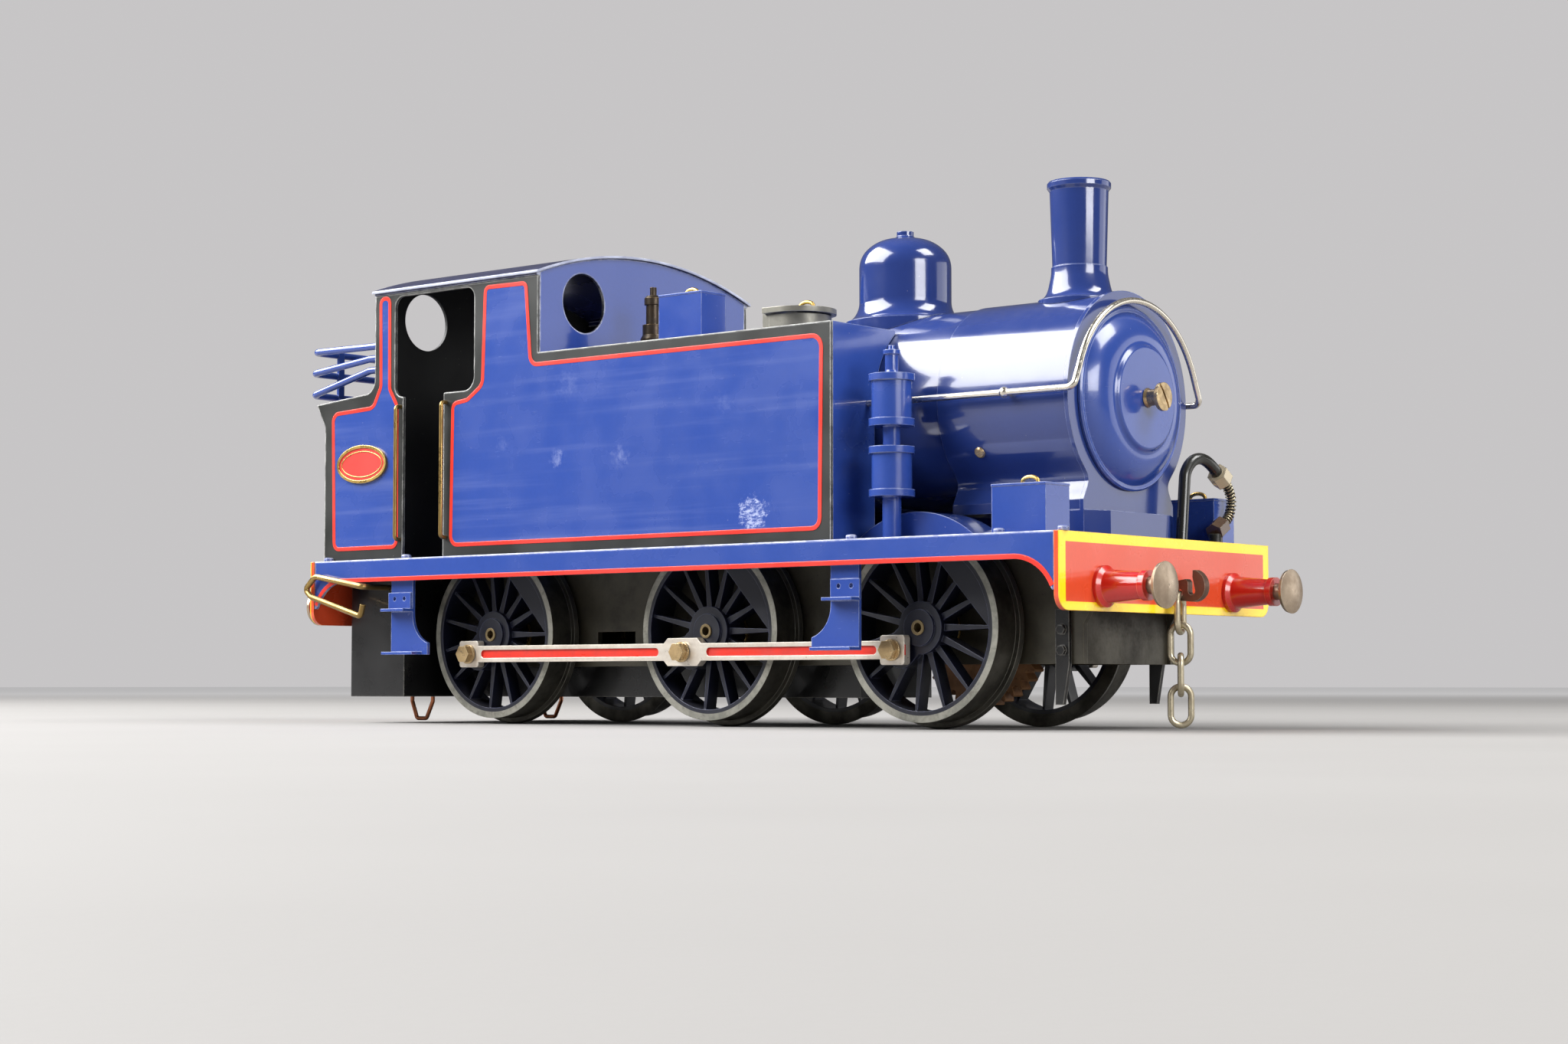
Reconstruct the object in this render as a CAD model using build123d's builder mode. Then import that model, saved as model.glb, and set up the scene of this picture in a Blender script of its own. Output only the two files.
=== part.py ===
from build123d import *
import os
from math import acos, asin, atan2, cos, degrees, hypot, pi, radians, sin, sqrt

# Model tank locomotive for 45 mm gauge track, all sizes in millimetres.
# Origin: on the centre line, under the centre axle, at the level that the wheel flanges stand on.
# +X is the front, +Y is the left-hand side, +Z is up.

os.makedirs("parts", exist_ok=True)

# ---- driving dimensions -------------------------------------------------------------------------
AXLE_X = {"rear": -69.0, "centre": 0.0, "front": 59.4}
TREAD_R = 20.0            # wheel tread radius
FLANGE_R = 21.4           # wheel flange radius, also the height of the axles
WHEEL_FACE_Y = 26.3       # outer face of the tyres
WHEEL_BACK_Y = 18.9       # inner face of the flanges
SPOKES = 15
CRANK_R = 6.9             # throw of the coupling-rod crankpins
CRANK_ANGLE = 222.5       # right-hand crankpins at rest, from +X towards +Z
FRAME_Y = 16.0            # inner face of the main frames
FRAME_T = 1.5
FRAME_REAR_X = -92.0
FRAME_FRONT_X = 94.5
FRAME_BOTTOM = 13.7
DECK_TOP = 39.85          # top of the footplate
DECK_T = 1.2
DECK_Y = 40.6             # half width over the valances
VALANCE_BOTTOM = 34.4
REAR_END_X = -117.7       # ends of the footplate, where the beams are
FRONT_END_X = 103.05
BEAM_Y = 40.84
BEAM_BOTTOM = 24.1
BEAM_T = 1.25
BUFFER_Y = 25.0
BUFFER_Z = 29.1
BUFFER_REACH = 15.3       # beam face to buffer face
BODY_Y = 37.4             # outer faces of the tank and cab sides
SHEET = 0.8               # body sheet thickness
TANK_FRONT_X = 44.1
TANK_TOP = 86.7
CAB_FRONT_X = -43.5
CAB_REAR_X = -99.7
EAVE_Z = 104.9
BUNKER_REAR_X = -118.0
BOILER_Z = 69.44          # height of the boiler's axis
BOILER_R = 22.0
SMOKEBOX_R = 22.3
SMOKEBOX_REAR_X = 60.9
SMOKEBOX_FRONT_X = 94.6
DOOR_R = 19.46
ROOF_R = 107.7            # outer radius of the cab roof
ROOF_CROWN = 113.0
ROOF_T = 0.6
CHIMNEY_X = 82.5
CHIMNEY_TOP = 117.0
DOME_X = 35.7
DOME_R = 10.37
AXLE_R = 3.0
RUN_GAP = 0.06            # radial clearance of running fits
GEAR_MODULE = 0.8
AXLE_GEAR_TEETH = 40
PINION_TEETH = 12
HINGE_PIN_R = 0.6

AXLE_Z = FLANGE_R
DECK_UNDER = DECK_TOP - DECK_T
ROOF_CENTRE_Z = ROOF_CROWN - ROOF_R
BEAM_TOP = DECK_TOP - 0.05
SIDES = (-1, 1)           # right-hand side, left-hand side


def save(part, label):
    """Label a finished piece and write it to its own STEP file."""
    part.label = label
    export_step(part, f"parts/{label}.step")


def side_plane(y):
    """Sketch plane at a given y: local x is +X, local y is +Z, extrusion goes towards -Y."""
    return Plane.XZ.offset(-y)


def wheel_plane(axle_x, side, y):
    """Plane on an axle, facing outwards on one side, at y from the centre line."""
    return Plane(origin=(axle_x, side * y, AXLE_Z), x_dir=(1, 0, 0), z_dir=(0, side, 0))


def crank_offset(side):
    """Crankpin offset from the axle as (dx, dz). The left-hand cranks are a quarter turn ahead."""
    angle = radians(CRANK_ANGLE + (90 if side > 0 else 0))
    return CRANK_R * cos(angle), CRANK_R * sin(angle)


def crank_local(side):
    """The crankpin offset in the local coordinates of wheel_plane."""
    dx, dz = crank_offset(side)
    return dx, -side * dz


# ---- frames -------------------------------------------------------------------------------------
BUSH_R = 4.2
FRAME_NOTCH = (-36.6, 20.4, 12.1, 2.9)      # centre x, centre z, length and height of a frame slot

with BuildPart() as main_frames:
    with BuildSketch(side_plane(-FRAME_Y)):
        with BuildLine():
            Polyline(
                (FRAME_REAR_X, FRAME_BOTTOM + 4),
                (FRAME_REAR_X + 6, FRAME_BOTTOM),
                (FRAME_FRONT_X, FRAME_BOTTOM),
                (FRAME_FRONT_X, 22.0),
                (FRAME_FRONT_X + 2.5, 26.0),
                (FRAME_FRONT_X + 2.5, DECK_UNDER),
                (FRAME_REAR_X, DECK_UNDER),
                close=True,
            )
        make_face()
        with Locations(*[(x, AXLE_Z) for x in AXLE_X.values()]):
            Circle(BUSH_R, mode=Mode.SUBTRACT)
        with Locations((FRAME_NOTCH[0], FRAME_NOTCH[1])):
            Rectangle(FRAME_NOTCH[2], FRAME_NOTCH[3], mode=Mode.SUBTRACT)
    extrude(amount=FRAME_T)
    mirror(about=Plane.XZ)
save(main_frames.part, "main_frames")

with BuildPart() as frame_stretchers:
    for x, low, high in ((92.6, FRAME_BOTTOM, 33.0), (21.5, 17.4, 36.0), (-47.0, 24.0, 36.0)):
        with BuildSketch(Plane.YZ.offset(x - 1.0)):
            with Locations((0, (low + high) / 2)):
                Rectangle(2 * FRAME_Y, high - low)
        extrude(amount=2.0)
save(frame_stretchers.part, "frame_stretchers")

GUARD_X = 89.9
with BuildPart() as guard_irons:
    with BuildSketch(side_plane(-(FRAME_Y + FRAME_T))):
        with BuildLine():
            Polyline(
                (GUARD_X - 1.7, 25.0),
                (GUARD_X + 1.7, 25.0),
                (GUARD_X + 1.7, FRAME_BOTTOM),
                (GUARD_X + 0.2, 5.3),
                (GUARD_X - 1.7, 5.3),
                (GUARD_X - 1.7, FRAME_BOTTOM),
                close=True,
            )
        make_face()
    extrude(amount=1.0)
    with BuildSketch(side_plane(-(FRAME_Y + FRAME_T + 1.0))):
        with Locations((GUARD_X, 20.8), (GUARD_X, 16.5)):
            RegularPolygon(1.1, 6)
    extrude(amount=0.8)
    mirror(about=Plane.XZ)
save(guard_irons.part, "guard_irons")

with BuildPart() as axle_bushes:
    with BuildSketch(side_plane(-(FRAME_Y - 0.6))):
        with Locations(*[(x, AXLE_Z) for x in AXLE_X.values()]):
            Circle(BUSH_R - 0.01)
            Circle(AXLE_R + RUN_GAP, mode=Mode.SUBTRACT)
    extrude(amount=FRAME_T + 1.2)
    mirror(about=Plane.XZ)
save(axle_bushes.part, "axle_bushes")

# ---- weight and tray under the footplate --------------------------------------------------------
BOX_REAR_X = -113.2
BOX_FRONT_X = -93.2
BOX_Y = 33.0
BOX_BOTTOM = 6.5
TRAY_Y = 13.0
TRAY_FRONT_X = 33.0
TRAY_TOP = 17.0
DROP_PIVOT = (-98.6, 33.2)          # bearing of the rear drop link in the side of the box
DROP_WIRE_R = 0.72

with BuildPart() as underframe_box:
    with BuildSketch(Plane.XY.offset(BOX_BOTTOM)):
        with Locations(((BOX_REAR_X + BOX_FRONT_X) / 2, 0)):
            Rectangle(BOX_FRONT_X - BOX_REAR_X, 2 * BOX_Y)
    extrude(amount=DECK_UNDER - BOX_BOTTOM)
    fillet(underframe_box.edges().filter_by(Axis.Z).group_by(Axis.X)[0], 1.2)
    with BuildSketch(Plane.YZ.offset(BOX_FRONT_X)):
        with Locations((0, (BOX_BOTTOM + TRAY_TOP) / 2)):
            Rectangle(2 * TRAY_Y, TRAY_TOP - BOX_BOTTOM)
        with Locations((0, (BOX_BOTTOM + TRAY_TOP) / 2 + 1.0)):
            Rectangle(2 * TRAY_Y - 2.0, TRAY_TOP - BOX_BOTTOM, mode=Mode.SUBTRACT)
    extrude(amount=TRAY_FRONT_X - BOX_FRONT_X)
    with BuildSketch(Plane.YZ.offset(TRAY_FRONT_X - 1.0)):
        with Locations((0, (BOX_BOTTOM + TRAY_TOP) / 2)):
            Rectangle(2 * TRAY_Y, TRAY_TOP - BOX_BOTTOM)
    extrude(amount=1.0)
    with BuildSketch(side_plane(-BOX_Y + 2.6)):
        with Locations(DROP_PIVOT):
            Circle(DROP_WIRE_R + RUN_GAP)
    extrude(amount=4.0, mode=Mode.SUBTRACT)
save(underframe_box.part, "underframe_box")

# ---- footplate, with its valances folded down at the sides ---------------------------------------
LEG_BOTTOM = 28.1
OGEE_LENGTH = 9.5
WHEEL_SLOT = 2 * (sqrt(FLANGE_R**2 - (DECK_UNDER - AXLE_Z) ** 2) + 1.2)

with BuildPart() as footplate:
    with BuildSketch(Plane.XY.offset(DECK_UNDER)):
        with Locations(((REAR_END_X + FRONT_END_X) / 2, 0)):
            Rectangle(FRONT_END_X - REAR_END_X, 2 * DECK_Y)
        with Locations(*[(x, s * 22.75) for x in AXLE_X.values() for s in SIDES]):
            Rectangle(WHEEL_SLOT, 9.9, mode=Mode.SUBTRACT)
        with Locations((44.0, 0)):
            Rectangle(34.0, 33.0, mode=Mode.SUBTRACT)
    extrude(amount=DECK_T)
    with BuildSketch(side_plane(-DECK_Y + SHEET)):
        with BuildLine():
            Polyline(
                (REAR_END_X, DECK_UNDER + 0.4),
                (REAR_END_X, LEG_BOTTOM),
                (REAR_END_X + 0.6, LEG_BOTTOM),
            )
            Line((REAR_END_X + 0.6, LEG_BOTTOM), (REAR_END_X + 1.0, LEG_BOTTOM + 0.6))
            TangentArc(
                (REAR_END_X + 1.0, LEG_BOTTOM + 0.6),
                (REAR_END_X + OGEE_LENGTH, VALANCE_BOTTOM),
                tangent=(1, 2.2),
            )
            Line((REAR_END_X + OGEE_LENGTH, VALANCE_BOTTOM), (FRONT_END_X - OGEE_LENGTH, VALANCE_BOTTOM))
            TangentArc(
                (FRONT_END_X - 1.0, LEG_BOTTOM + 0.6),
                (FRONT_END_X - OGEE_LENGTH, VALANCE_BOTTOM),
                tangent=(-1, 2.2),
            )
            Line((FRONT_END_X - 1.0, LEG_BOTTOM + 0.6), (FRONT_END_X - 0.6, LEG_BOTTOM))
            Polyline(
                (FRONT_END_X - 0.6, LEG_BOTTOM),
                (FRONT_END_X, LEG_BOTTOM),
                (FRONT_END_X, DECK_UNDER + 0.4),
                (REAR_END_X, DECK_UNDER + 0.4),
            )
        make_face()
    extrude(amount=SHEET)
    mirror(about=Plane.XZ)
save(footplate.part, "footplate")

# ---- buffer beams -------------------------------------------------------------------------------
FRONT_BEAM_X = FRONT_END_X + BEAM_T
REAR_BEAM_X = REAR_END_X - BEAM_T
STOCK_BORE_R = 1.76

with BuildPart() as buffer_beams:
    for x in (FRONT_END_X, REAR_BEAM_X):
        with BuildSketch(Plane.YZ.offset(x)) as beam_outline:
            with Locations((0, (BEAM_BOTTOM + BEAM_TOP) / 2)):
                Rectangle(2 * BEAM_Y, BEAM_TOP - BEAM_BOTTOM)
            fillet(beam_outline.vertices().group_by(Axis.Y)[0], 3.2)
            with Locations((-BUFFER_Y, BUFFER_Z), (BUFFER_Y, BUFFER_Z)):
                Circle(STOCK_BORE_R, mode=Mode.SUBTRACT)
        extrude(amount=BEAM_T)
save(buffer_beams.part, "buffer_beams")

# Sprung buffers: a stock on the beam, a turned head whose shank slides in the stock's bore.
STOCK_L = 11.0
HEAD_R = 4.7
HEAD_SAG = 0.7            # depth of the domed face
HEAD_DOME_R = (HEAD_R**2 + HEAD_SAG**2) / (2 * HEAD_SAG)
SHANK_R = 1.7
ENDS = {"front": (FRONT_BEAM_X, 1), "rear": (REAR_BEAM_X, -1)}


def buffer_profile_plane(end, side):
    """Half-section plane through a buffer's axis: local x runs outwards along it."""
    beam_x, out = ENDS[end]
    centre = (beam_x, side * BUFFER_Y, BUFFER_Z)
    return Plane(origin=centre, x_dir=(out, 0, 0), z_dir=(0, -out, 0))


with BuildPart() as buffer_stocks:
    for end in ENDS:
        for side in SIDES:
            section = buffer_profile_plane(end, side)
            with BuildSketch(section):
                with BuildLine():
                    Polyline(
                        (0, STOCK_BORE_R),
                        (0, 4.25),
                        (0.9, 4.25),
                        (1.6, 3.4),
                        (STOCK_L - 1.4, 2.65),
                        (STOCK_L - 1.4, 3.05),
                        (STOCK_L, 3.05),
                        (STOCK_L, STOCK_BORE_R),
                        close=True,
                    )
                make_face()
            revolve(axis=Axis(section.origin, section.x_dir), revolution_arc=360)
save(buffer_stocks.part, "buffer_stocks")

for end, (beam_x, out) in ENDS.items():
    for side, side_name in ((-1, "right"), (1, "left")):
        with BuildPart() as buffer_head:
            section = buffer_profile_plane(end, side)
            with BuildSketch(section):
                with BuildLine():
                    Polyline(
                        (BUFFER_REACH, 0),
                        (-3.2, 0),
                        (-3.2, 2.7),
                        (-1.9, 2.7),
                        (-1.9, SHANK_R),
                        (BUFFER_REACH - 1.7, SHANK_R),
                        (BUFFER_REACH - 1.4, HEAD_R - 0.2),
                        (BUFFER_REACH - HEAD_SAG, HEAD_R),
                    )
                    ThreePointArc(
                        (BUFFER_REACH - HEAD_SAG, HEAD_R),
                        (BUFFER_REACH - HEAD_DOME_R + sqrt(HEAD_DOME_R**2 - HEAD_R**2 / 4), HEAD_R / 2),
                        (BUFFER_REACH, 0),
                    )
                make_face()
            revolve(axis=Axis(section.origin, section.x_dir), revolution_arc=360)
        save(buffer_head.part, f"buffer_head_{end}_{side_name}")

# ---- footsteps: four brackets with two treads each ------------------------------------------------
STEP_Y = 37.9             # inner face of the step brackets
STEP_BOTTOM = 16.6
STEP_W = 7.6


def footstep(part_x, lean):
    """Right-hand bracket whose plain edge is at part_x; the lower gusset spreads towards lean."""
    far_edge = part_x + lean * STEP_W
    foot_edge = part_x + lean * (STEP_W + 5.2)
    with BuildSketch(side_plane(-STEP_Y)) as bracket:
        with BuildLine():
            Polyline(
                (far_edge, 26.6),
                (far_edge, DECK_UNDER),
                (part_x, DECK_UNDER),
                (part_x, STEP_BOTTOM),
                (foot_edge, STEP_BOTTOM),
                (foot_edge, 19.4),
            )
            ThreePointArc(
                (foot_edge, 19.4),
                (far_edge + lean * 1.4, 22.0),
                (far_edge, 26.6),
            )
        make_face()
    extrude(bracket.sketch, amount=SHEET)
    for low, length, start in ((27.0, STEP_W + 0.4, part_x - lean * 0.4), (STEP_BOTTOM, 10.8, part_x)):
        with BuildSketch(Plane.XY.offset(low)) as tread:
            with Locations((start + lean * length / 2, -(STEP_Y + SHEET + 1.6))):
                Rectangle(length, 3.2)
        extrude(tread.sketch, amount=0.7)
    with BuildSketch(side_plane(-(STEP_Y + SHEET))) as strap:
        with Locations((part_x + lean * (STEP_W / 2 - 0.4), 29.5)):
            Rectangle(STEP_W + 0.2, 4.2)
        with Locations(*[(part_x + lean * (STEP_W / 2 - 0.4) + d, 30.1) for d in (-1.7, 1.7)]):
            Circle(0.5, mode=Mode.SUBTRACT)
    extrude(strap.sketch, amount=0.5)


with BuildPart() as footsteps:
    footstep(-91.6, 1)
    footstep(52.7, -1)
    mirror(about=Plane.XZ)
save(footsteps.part, "footsteps")

# ---- side sheets: tank, cab and bunker in one piece, with the keyhole cab opening ------------------
OPEN_REAR_X = -92.5
OPEN_FRONT_X = -64.7
OPEN_TOP = 104.1
OPEN_BOTTOM = 79.4
DOOR_REAR_X = -89.4
DOOR_FRONT_X = -75.1
FLARE_X = -121.2
FLARE_Z = 79.4
for side, side_name in ((-1, "right"), (1, "left")):
    sheet_y = BODY_Y if side > 0 else -BODY_Y + SHEET
    with BuildPart() as side_sheet:
        with BuildSketch(side_plane(sheet_y)) as outline:
            with BuildLine():
                Polyline(
                    (CAB_REAR_X, 84.6),
                    (CAB_REAR_X, EAVE_Z),
                    (CAB_FRONT_X, EAVE_Z),
                    (CAB_FRONT_X, TANK_TOP),
                    (TANK_FRONT_X, TANK_TOP),
                    (TANK_FRONT_X, DECK_TOP),
                    (BUNKER_REAR_X, DECK_TOP),
                    (BUNKER_REAR_X, 73.5),
                    (FLARE_X, FLARE_Z),
                    (CAB_REAR_X - 3.6, 80.9),
                )
                ThreePointArc(
                    (CAB_REAR_X - 3.6, 80.9),
                    (CAB_REAR_X - 1.05, 81.95),
                    (CAB_REAR_X, 84.6),
                )
            make_face()
            with BuildLine():
                FilletPolyline(
                    (DOOR_REAR_X, DECK_TOP),
                    (DOOR_REAR_X, OPEN_BOTTOM),
                    (OPEN_REAR_X, OPEN_BOTTOM),
                    (OPEN_REAR_X, OPEN_TOP),
                    (OPEN_FRONT_X, OPEN_TOP),
                    (OPEN_FRONT_X, OPEN_BOTTOM),
                    (DOOR_FRONT_X, OPEN_BOTTOM),
                    (DOOR_FRONT_X, DECK_TOP),
                    radius=[0.3, 2.8, 2.6, 2.6, 3.4, 0.3],
                )
                Line((DOOR_FRONT_X, DECK_TOP), (DOOR_REAR_X, DECK_TOP))
            make_face(mode=Mode.SUBTRACT)
        extrude(amount=SHEET)
    save(side_sheet.part, f"side_sheet_{side_name}")

# ---- side tanks: top plate, front plate and inner wall --------------------------------------------
FILLER_X = 23.3
FILLER_Y = -26.0
FILLER_R = 7.0
FILLER_TOP = 90.1
FILLER_BORE = 5.2
FILLER_MOUTH = (FILLER_X + 4.2, FILLER_Y)
TANK_WALL_Y = 22.4
TANK_IN_Y = BODY_Y - SHEET
TANK_REAR_X = CAB_FRONT_X
TOP_IN_Y = sqrt((BOILER_R + 0.2) ** 2 - (TANK_TOP - SHEET - BOILER_Z) ** 2)


def tank_front_outline(side):
    """Tank front plate in the YZ plane, cut round to the boiler on its inner edge."""
    clear = BOILER_R + 0.2
    arc_mid = radians(25)
    with BuildLine() as border:
        Line((side * TANK_IN_Y, DECK_TOP), (side * TANK_IN_Y, TANK_TOP))
        Line((side * TANK_IN_Y, TANK_TOP), (side * TOP_IN_Y, TANK_TOP))
        Line((side * TOP_IN_Y, TANK_TOP), (side * TOP_IN_Y, TANK_TOP - SHEET))
        ThreePointArc(
            (side * TOP_IN_Y, TANK_TOP - SHEET),
            (side * clear * cos(arc_mid), BOILER_Z + clear * sin(arc_mid)),
            (side * clear, BOILER_Z),
        )
        Line((side * clear, BOILER_Z), (side * clear, DECK_TOP))
        Line((side * clear, DECK_TOP), (side * TANK_IN_Y, DECK_TOP))
    make_face(border.edges())


for side, side_name in ((-1, "right"), (1, "left")):
    with BuildPart() as tank:
        with BuildSketch(Plane.YZ.offset(TANK_FRONT_X - SHEET)):
            tank_front_outline(side)
        extrude(amount=SHEET)
        with BuildSketch(Plane.YZ.offset(TANK_REAR_X)):
            with Locations((side * (TOP_IN_Y + TANK_IN_Y) / 2, TANK_TOP - SHEET / 2)):
                Rectangle(TANK_IN_Y - TOP_IN_Y, SHEET)
            with Locations((side * (TANK_WALL_Y + SHEET / 2), (DECK_TOP + TANK_TOP) / 2)):
                Rectangle(SHEET, TANK_TOP - DECK_TOP)
        extrude(amount=TANK_FRONT_X - TANK_REAR_X)
        with BuildSketch(Plane.XY.offset(DECK_TOP)):
            with Locations(*[(x, side * 24.0) for x in (AXLE_X["centre"],)]):
                Rectangle(WHEEL_SLOT + 5, 8.9)
        extrude(amount=6.4, mode=Mode.SUBTRACT)
        if side < 0:
            with BuildSketch(Plane.XY.offset(TANK_TOP - 2)):
                with Locations(FILLER_MOUTH):
                    Circle(FILLER_BORE)
            extrude(amount=4, mode=Mode.SUBTRACT)
    save(tank.part, f"tank_{side_name}")

# ---- cab front, cab rear and bunker ---------------------------------------------------------------
WINDOW_R = 7.1
WINDOW_Y = 21.9
WINDOW_Z = 99.8
CAB_IN_Y = BODY_Y - SHEET


def roof_line(y, inset):
    """Height of an arc parallel to the roof, inset below its outer surface, at a given y."""
    return ROOF_CENTRE_Z + sqrt((ROOF_R - inset) ** 2 - y**2)


def bulkhead(x, low):
    """Cab end plate with a curved top under the roof and a pair of round windows."""
    inset = ROOF_T + 0.05
    with BuildSketch(Plane.YZ.offset(x)) as plate:
        with BuildLine():
            Line((CAB_IN_Y, low), (CAB_IN_Y, roof_line(CAB_IN_Y, inset)))
            ThreePointArc(
                (CAB_IN_Y, roof_line(CAB_IN_Y, inset)),
                (0, roof_line(0, inset)),
                (-CAB_IN_Y, roof_line(CAB_IN_Y, inset)),
            )
            Line((-CAB_IN_Y, roof_line(CAB_IN_Y, inset)), (-CAB_IN_Y, low))
            Line((-CAB_IN_Y, low), (CAB_IN_Y, low))
        make_face()
        with Locations((-WINDOW_Y, WINDOW_Z), (WINDOW_Y, WINDOW_Z)):
            Circle(WINDOW_R, mode=Mode.SUBTRACT)
    extrude(plate.sketch, amount=SHEET)


with BuildPart() as cab_front:
    bulkhead(CAB_FRONT_X - SHEET, DECK_TOP)
save(cab_front.part, "cab_front")

CAB_BACK_X = CAB_REAR_X + 0.8
with BuildPart() as cab_rear:
    bulkhead(CAB_BACK_X, DECK_TOP)
save(cab_rear.part, "cab_rear")

COAL_FLOOR_Z = 66.0
with BuildPart() as bunker:
    with BuildSketch(side_plane(CAB_IN_Y)):
        with BuildLine():
            Polyline(
                (BUNKER_REAR_X, DECK_TOP),
                (BUNKER_REAR_X, 73.5),
                (FLARE_X, FLARE_Z),
                (FLARE_X + 0.9, FLARE_Z + 0.1),
                (BUNKER_REAR_X + SHEET, 73.3),
                (BUNKER_REAR_X + SHEET, COAL_FLOOR_Z),
                (CAB_BACK_X, COAL_FLOOR_Z),
                (CAB_BACK_X, COAL_FLOOR_Z - SHEET),
                (BUNKER_REAR_X + SHEET, COAL_FLOOR_Z - SHEET),
                (BUNKER_REAR_X + SHEET, DECK_TOP),
                close=True,
            )
        make_face()
    extrude(amount=2 * CAB_IN_Y)
save(bunker.part, "bunker")

# ---- cab roof with a cantrail strip under each eave -------------------------------------------------
ROOF_Y = 38.2
ROOF_REAR_X = CAB_REAR_X - 0.4
ROOF_FRONT_X = CAB_FRONT_X + 0.8
with BuildPart() as cab_roof:
    with BuildSketch(Plane.YZ.offset(ROOF_REAR_X)):
        with BuildLine():
            ThreePointArc(
                (-ROOF_Y, roof_line(ROOF_Y, 0)),
                (0, ROOF_CROWN),
                (ROOF_Y, roof_line(ROOF_Y, 0)),
            )
            Line((ROOF_Y, roof_line(ROOF_Y, 0)), (ROOF_Y, roof_line(ROOF_Y, ROOF_T)))
            ThreePointArc(
                (ROOF_Y, roof_line(ROOF_Y, ROOF_T)),
                (0, ROOF_CROWN - ROOF_T),
                (-ROOF_Y, roof_line(ROOF_Y, ROOF_T)),
            )
            Line((-ROOF_Y, roof_line(ROOF_Y, ROOF_T)), (-ROOF_Y, roof_line(ROOF_Y, 0)))
        make_face()
    extrude(amount=ROOF_FRONT_X - ROOF_REAR_X)
    with BuildSketch(Plane.YZ.offset(CAB_REAR_X)):
        for side in SIDES:
            with BuildLine():
                Polyline(
                    (side * (CAB_IN_Y + 0.05), EAVE_Z + 0.02),
                    (side * (BODY_Y + 0.3), EAVE_Z + 0.02),
                    (side * (BODY_Y + 0.3), roof_line(BODY_Y, ROOF_T / 2)),
                    (side * (CAB_IN_Y + 0.05), roof_line(BODY_Y, ROOF_T / 2)),
                    close=True,
                )
            make_face()
    extrude(amount=CAB_FRONT_X - CAB_REAR_X)
save(cab_roof.part, "cab_roof")

# ---- coal rails: three bent wires and a pair of upright strips -------------------------------------
RAIL_R = 0.86
RAIL_Y = 35.9
RAIL_REAR_X = -124.4
STRIP_Y = 27.5
with BuildPart() as coal_rails:
    for front_z, rear_z, front_x in ((92.8, 93.0, CAB_REAR_X), (89.8, 87.6, CAB_REAR_X),
                                     (86.9, 82.1, CAB_REAR_X)):
        with BuildLine() as rail_path:
            FilletPolyline(
                (front_x, -RAIL_Y, front_z),
                (front_x - 3.4, -RAIL_Y, front_z),
                (RAIL_REAR_X, -RAIL_Y, rear_z),
                (RAIL_REAR_X, RAIL_Y, rear_z),
                (front_x - 3.4, RAIL_Y, front_z),
                (front_x, RAIL_Y, front_z),
                radius=2.4 if rear_z > 90 else 1.5,
            )
        with BuildSketch(Plane(origin=rail_path.line @ 0, z_dir=rail_path.line % 0)):
            Circle(RAIL_R)
        sweep(path=rail_path.line)
    for side in SIDES:
        with BuildSketch(side_plane(side * STRIP_Y + 0.9)):
            with BuildLine():
                Polyline(
                    (RAIL_REAR_X + 0.2, 93.6),
                    (RAIL_REAR_X + 1.0, 93.6),
                    (RAIL_REAR_X + 1.0, 82.0),
                    (FLARE_X + 0.9, FLARE_Z + 0.12),
                    (FLARE_X + 0.1, FLARE_Z + 0.02),
                    (RAIL_REAR_X + 0.2, 81.4),
                    close=True,
                )
            make_face()
        extrude(amount=1.8)
save(coal_rails.part, "coal_rails")

# ---- brass handrails beside the doorways -----------------------------------------------------------
GRIP_R = 0.5
GRIP_Y = BODY_Y + 1.6
with BuildPart() as cab_handrails:
    for side in SIDES:
        for x in (DOOR_REAR_X - 0.9, DOOR_FRONT_X + 0.9):
            with BuildLine() as grip_path:
                FilletPolyline(
                    (x, side * (BODY_Y + 0.02), 44.6),
                    (x, side * GRIP_Y, 44.6),
                    (x, side * GRIP_Y, 77.0),
                    (x, side * (BODY_Y + 0.02), 77.0),
                    radius=0.9,
                )
            with BuildSketch(Plane(origin=grip_path.line @ 0, z_dir=grip_path.line % 0)):
                Circle(GRIP_R)
            sweep(path=grip_path.line)
save(cab_handrails.part, "cab_handrails")

# ---- boiler and smokebox ---------------------------------------------------------------------------
BARREL_T = 1.0
with BuildPart() as boiler_barrel:
    with BuildSketch(Plane.YZ.offset(CAB_FRONT_X + 0.02)):
        with Locations((0, BOILER_Z)):
            Circle(BOILER_R)
            Circle(BOILER_R - BARREL_T, mode=Mode.SUBTRACT)
    extrude(amount=SMOKEBOX_REAR_X - CAB_FRONT_X - 0.02)
    with BuildSketch(Plane.YZ.offset(CAB_FRONT_X + 0.02)):
        with Locations((0, BOILER_Z)):
            Circle(BOILER_R)
    extrude(amount=1.0)
save(boiler_barrel.part, "boiler_barrel")

WAIST_Y = 15.4
WAIST_Z = 51.6
SKIRT_Y = 17.3
SADDLE_TOP = 45.4
FACE_R = 22.94            # radius of the smokebox front plate
FLARE_START = radians(-32)


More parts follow.
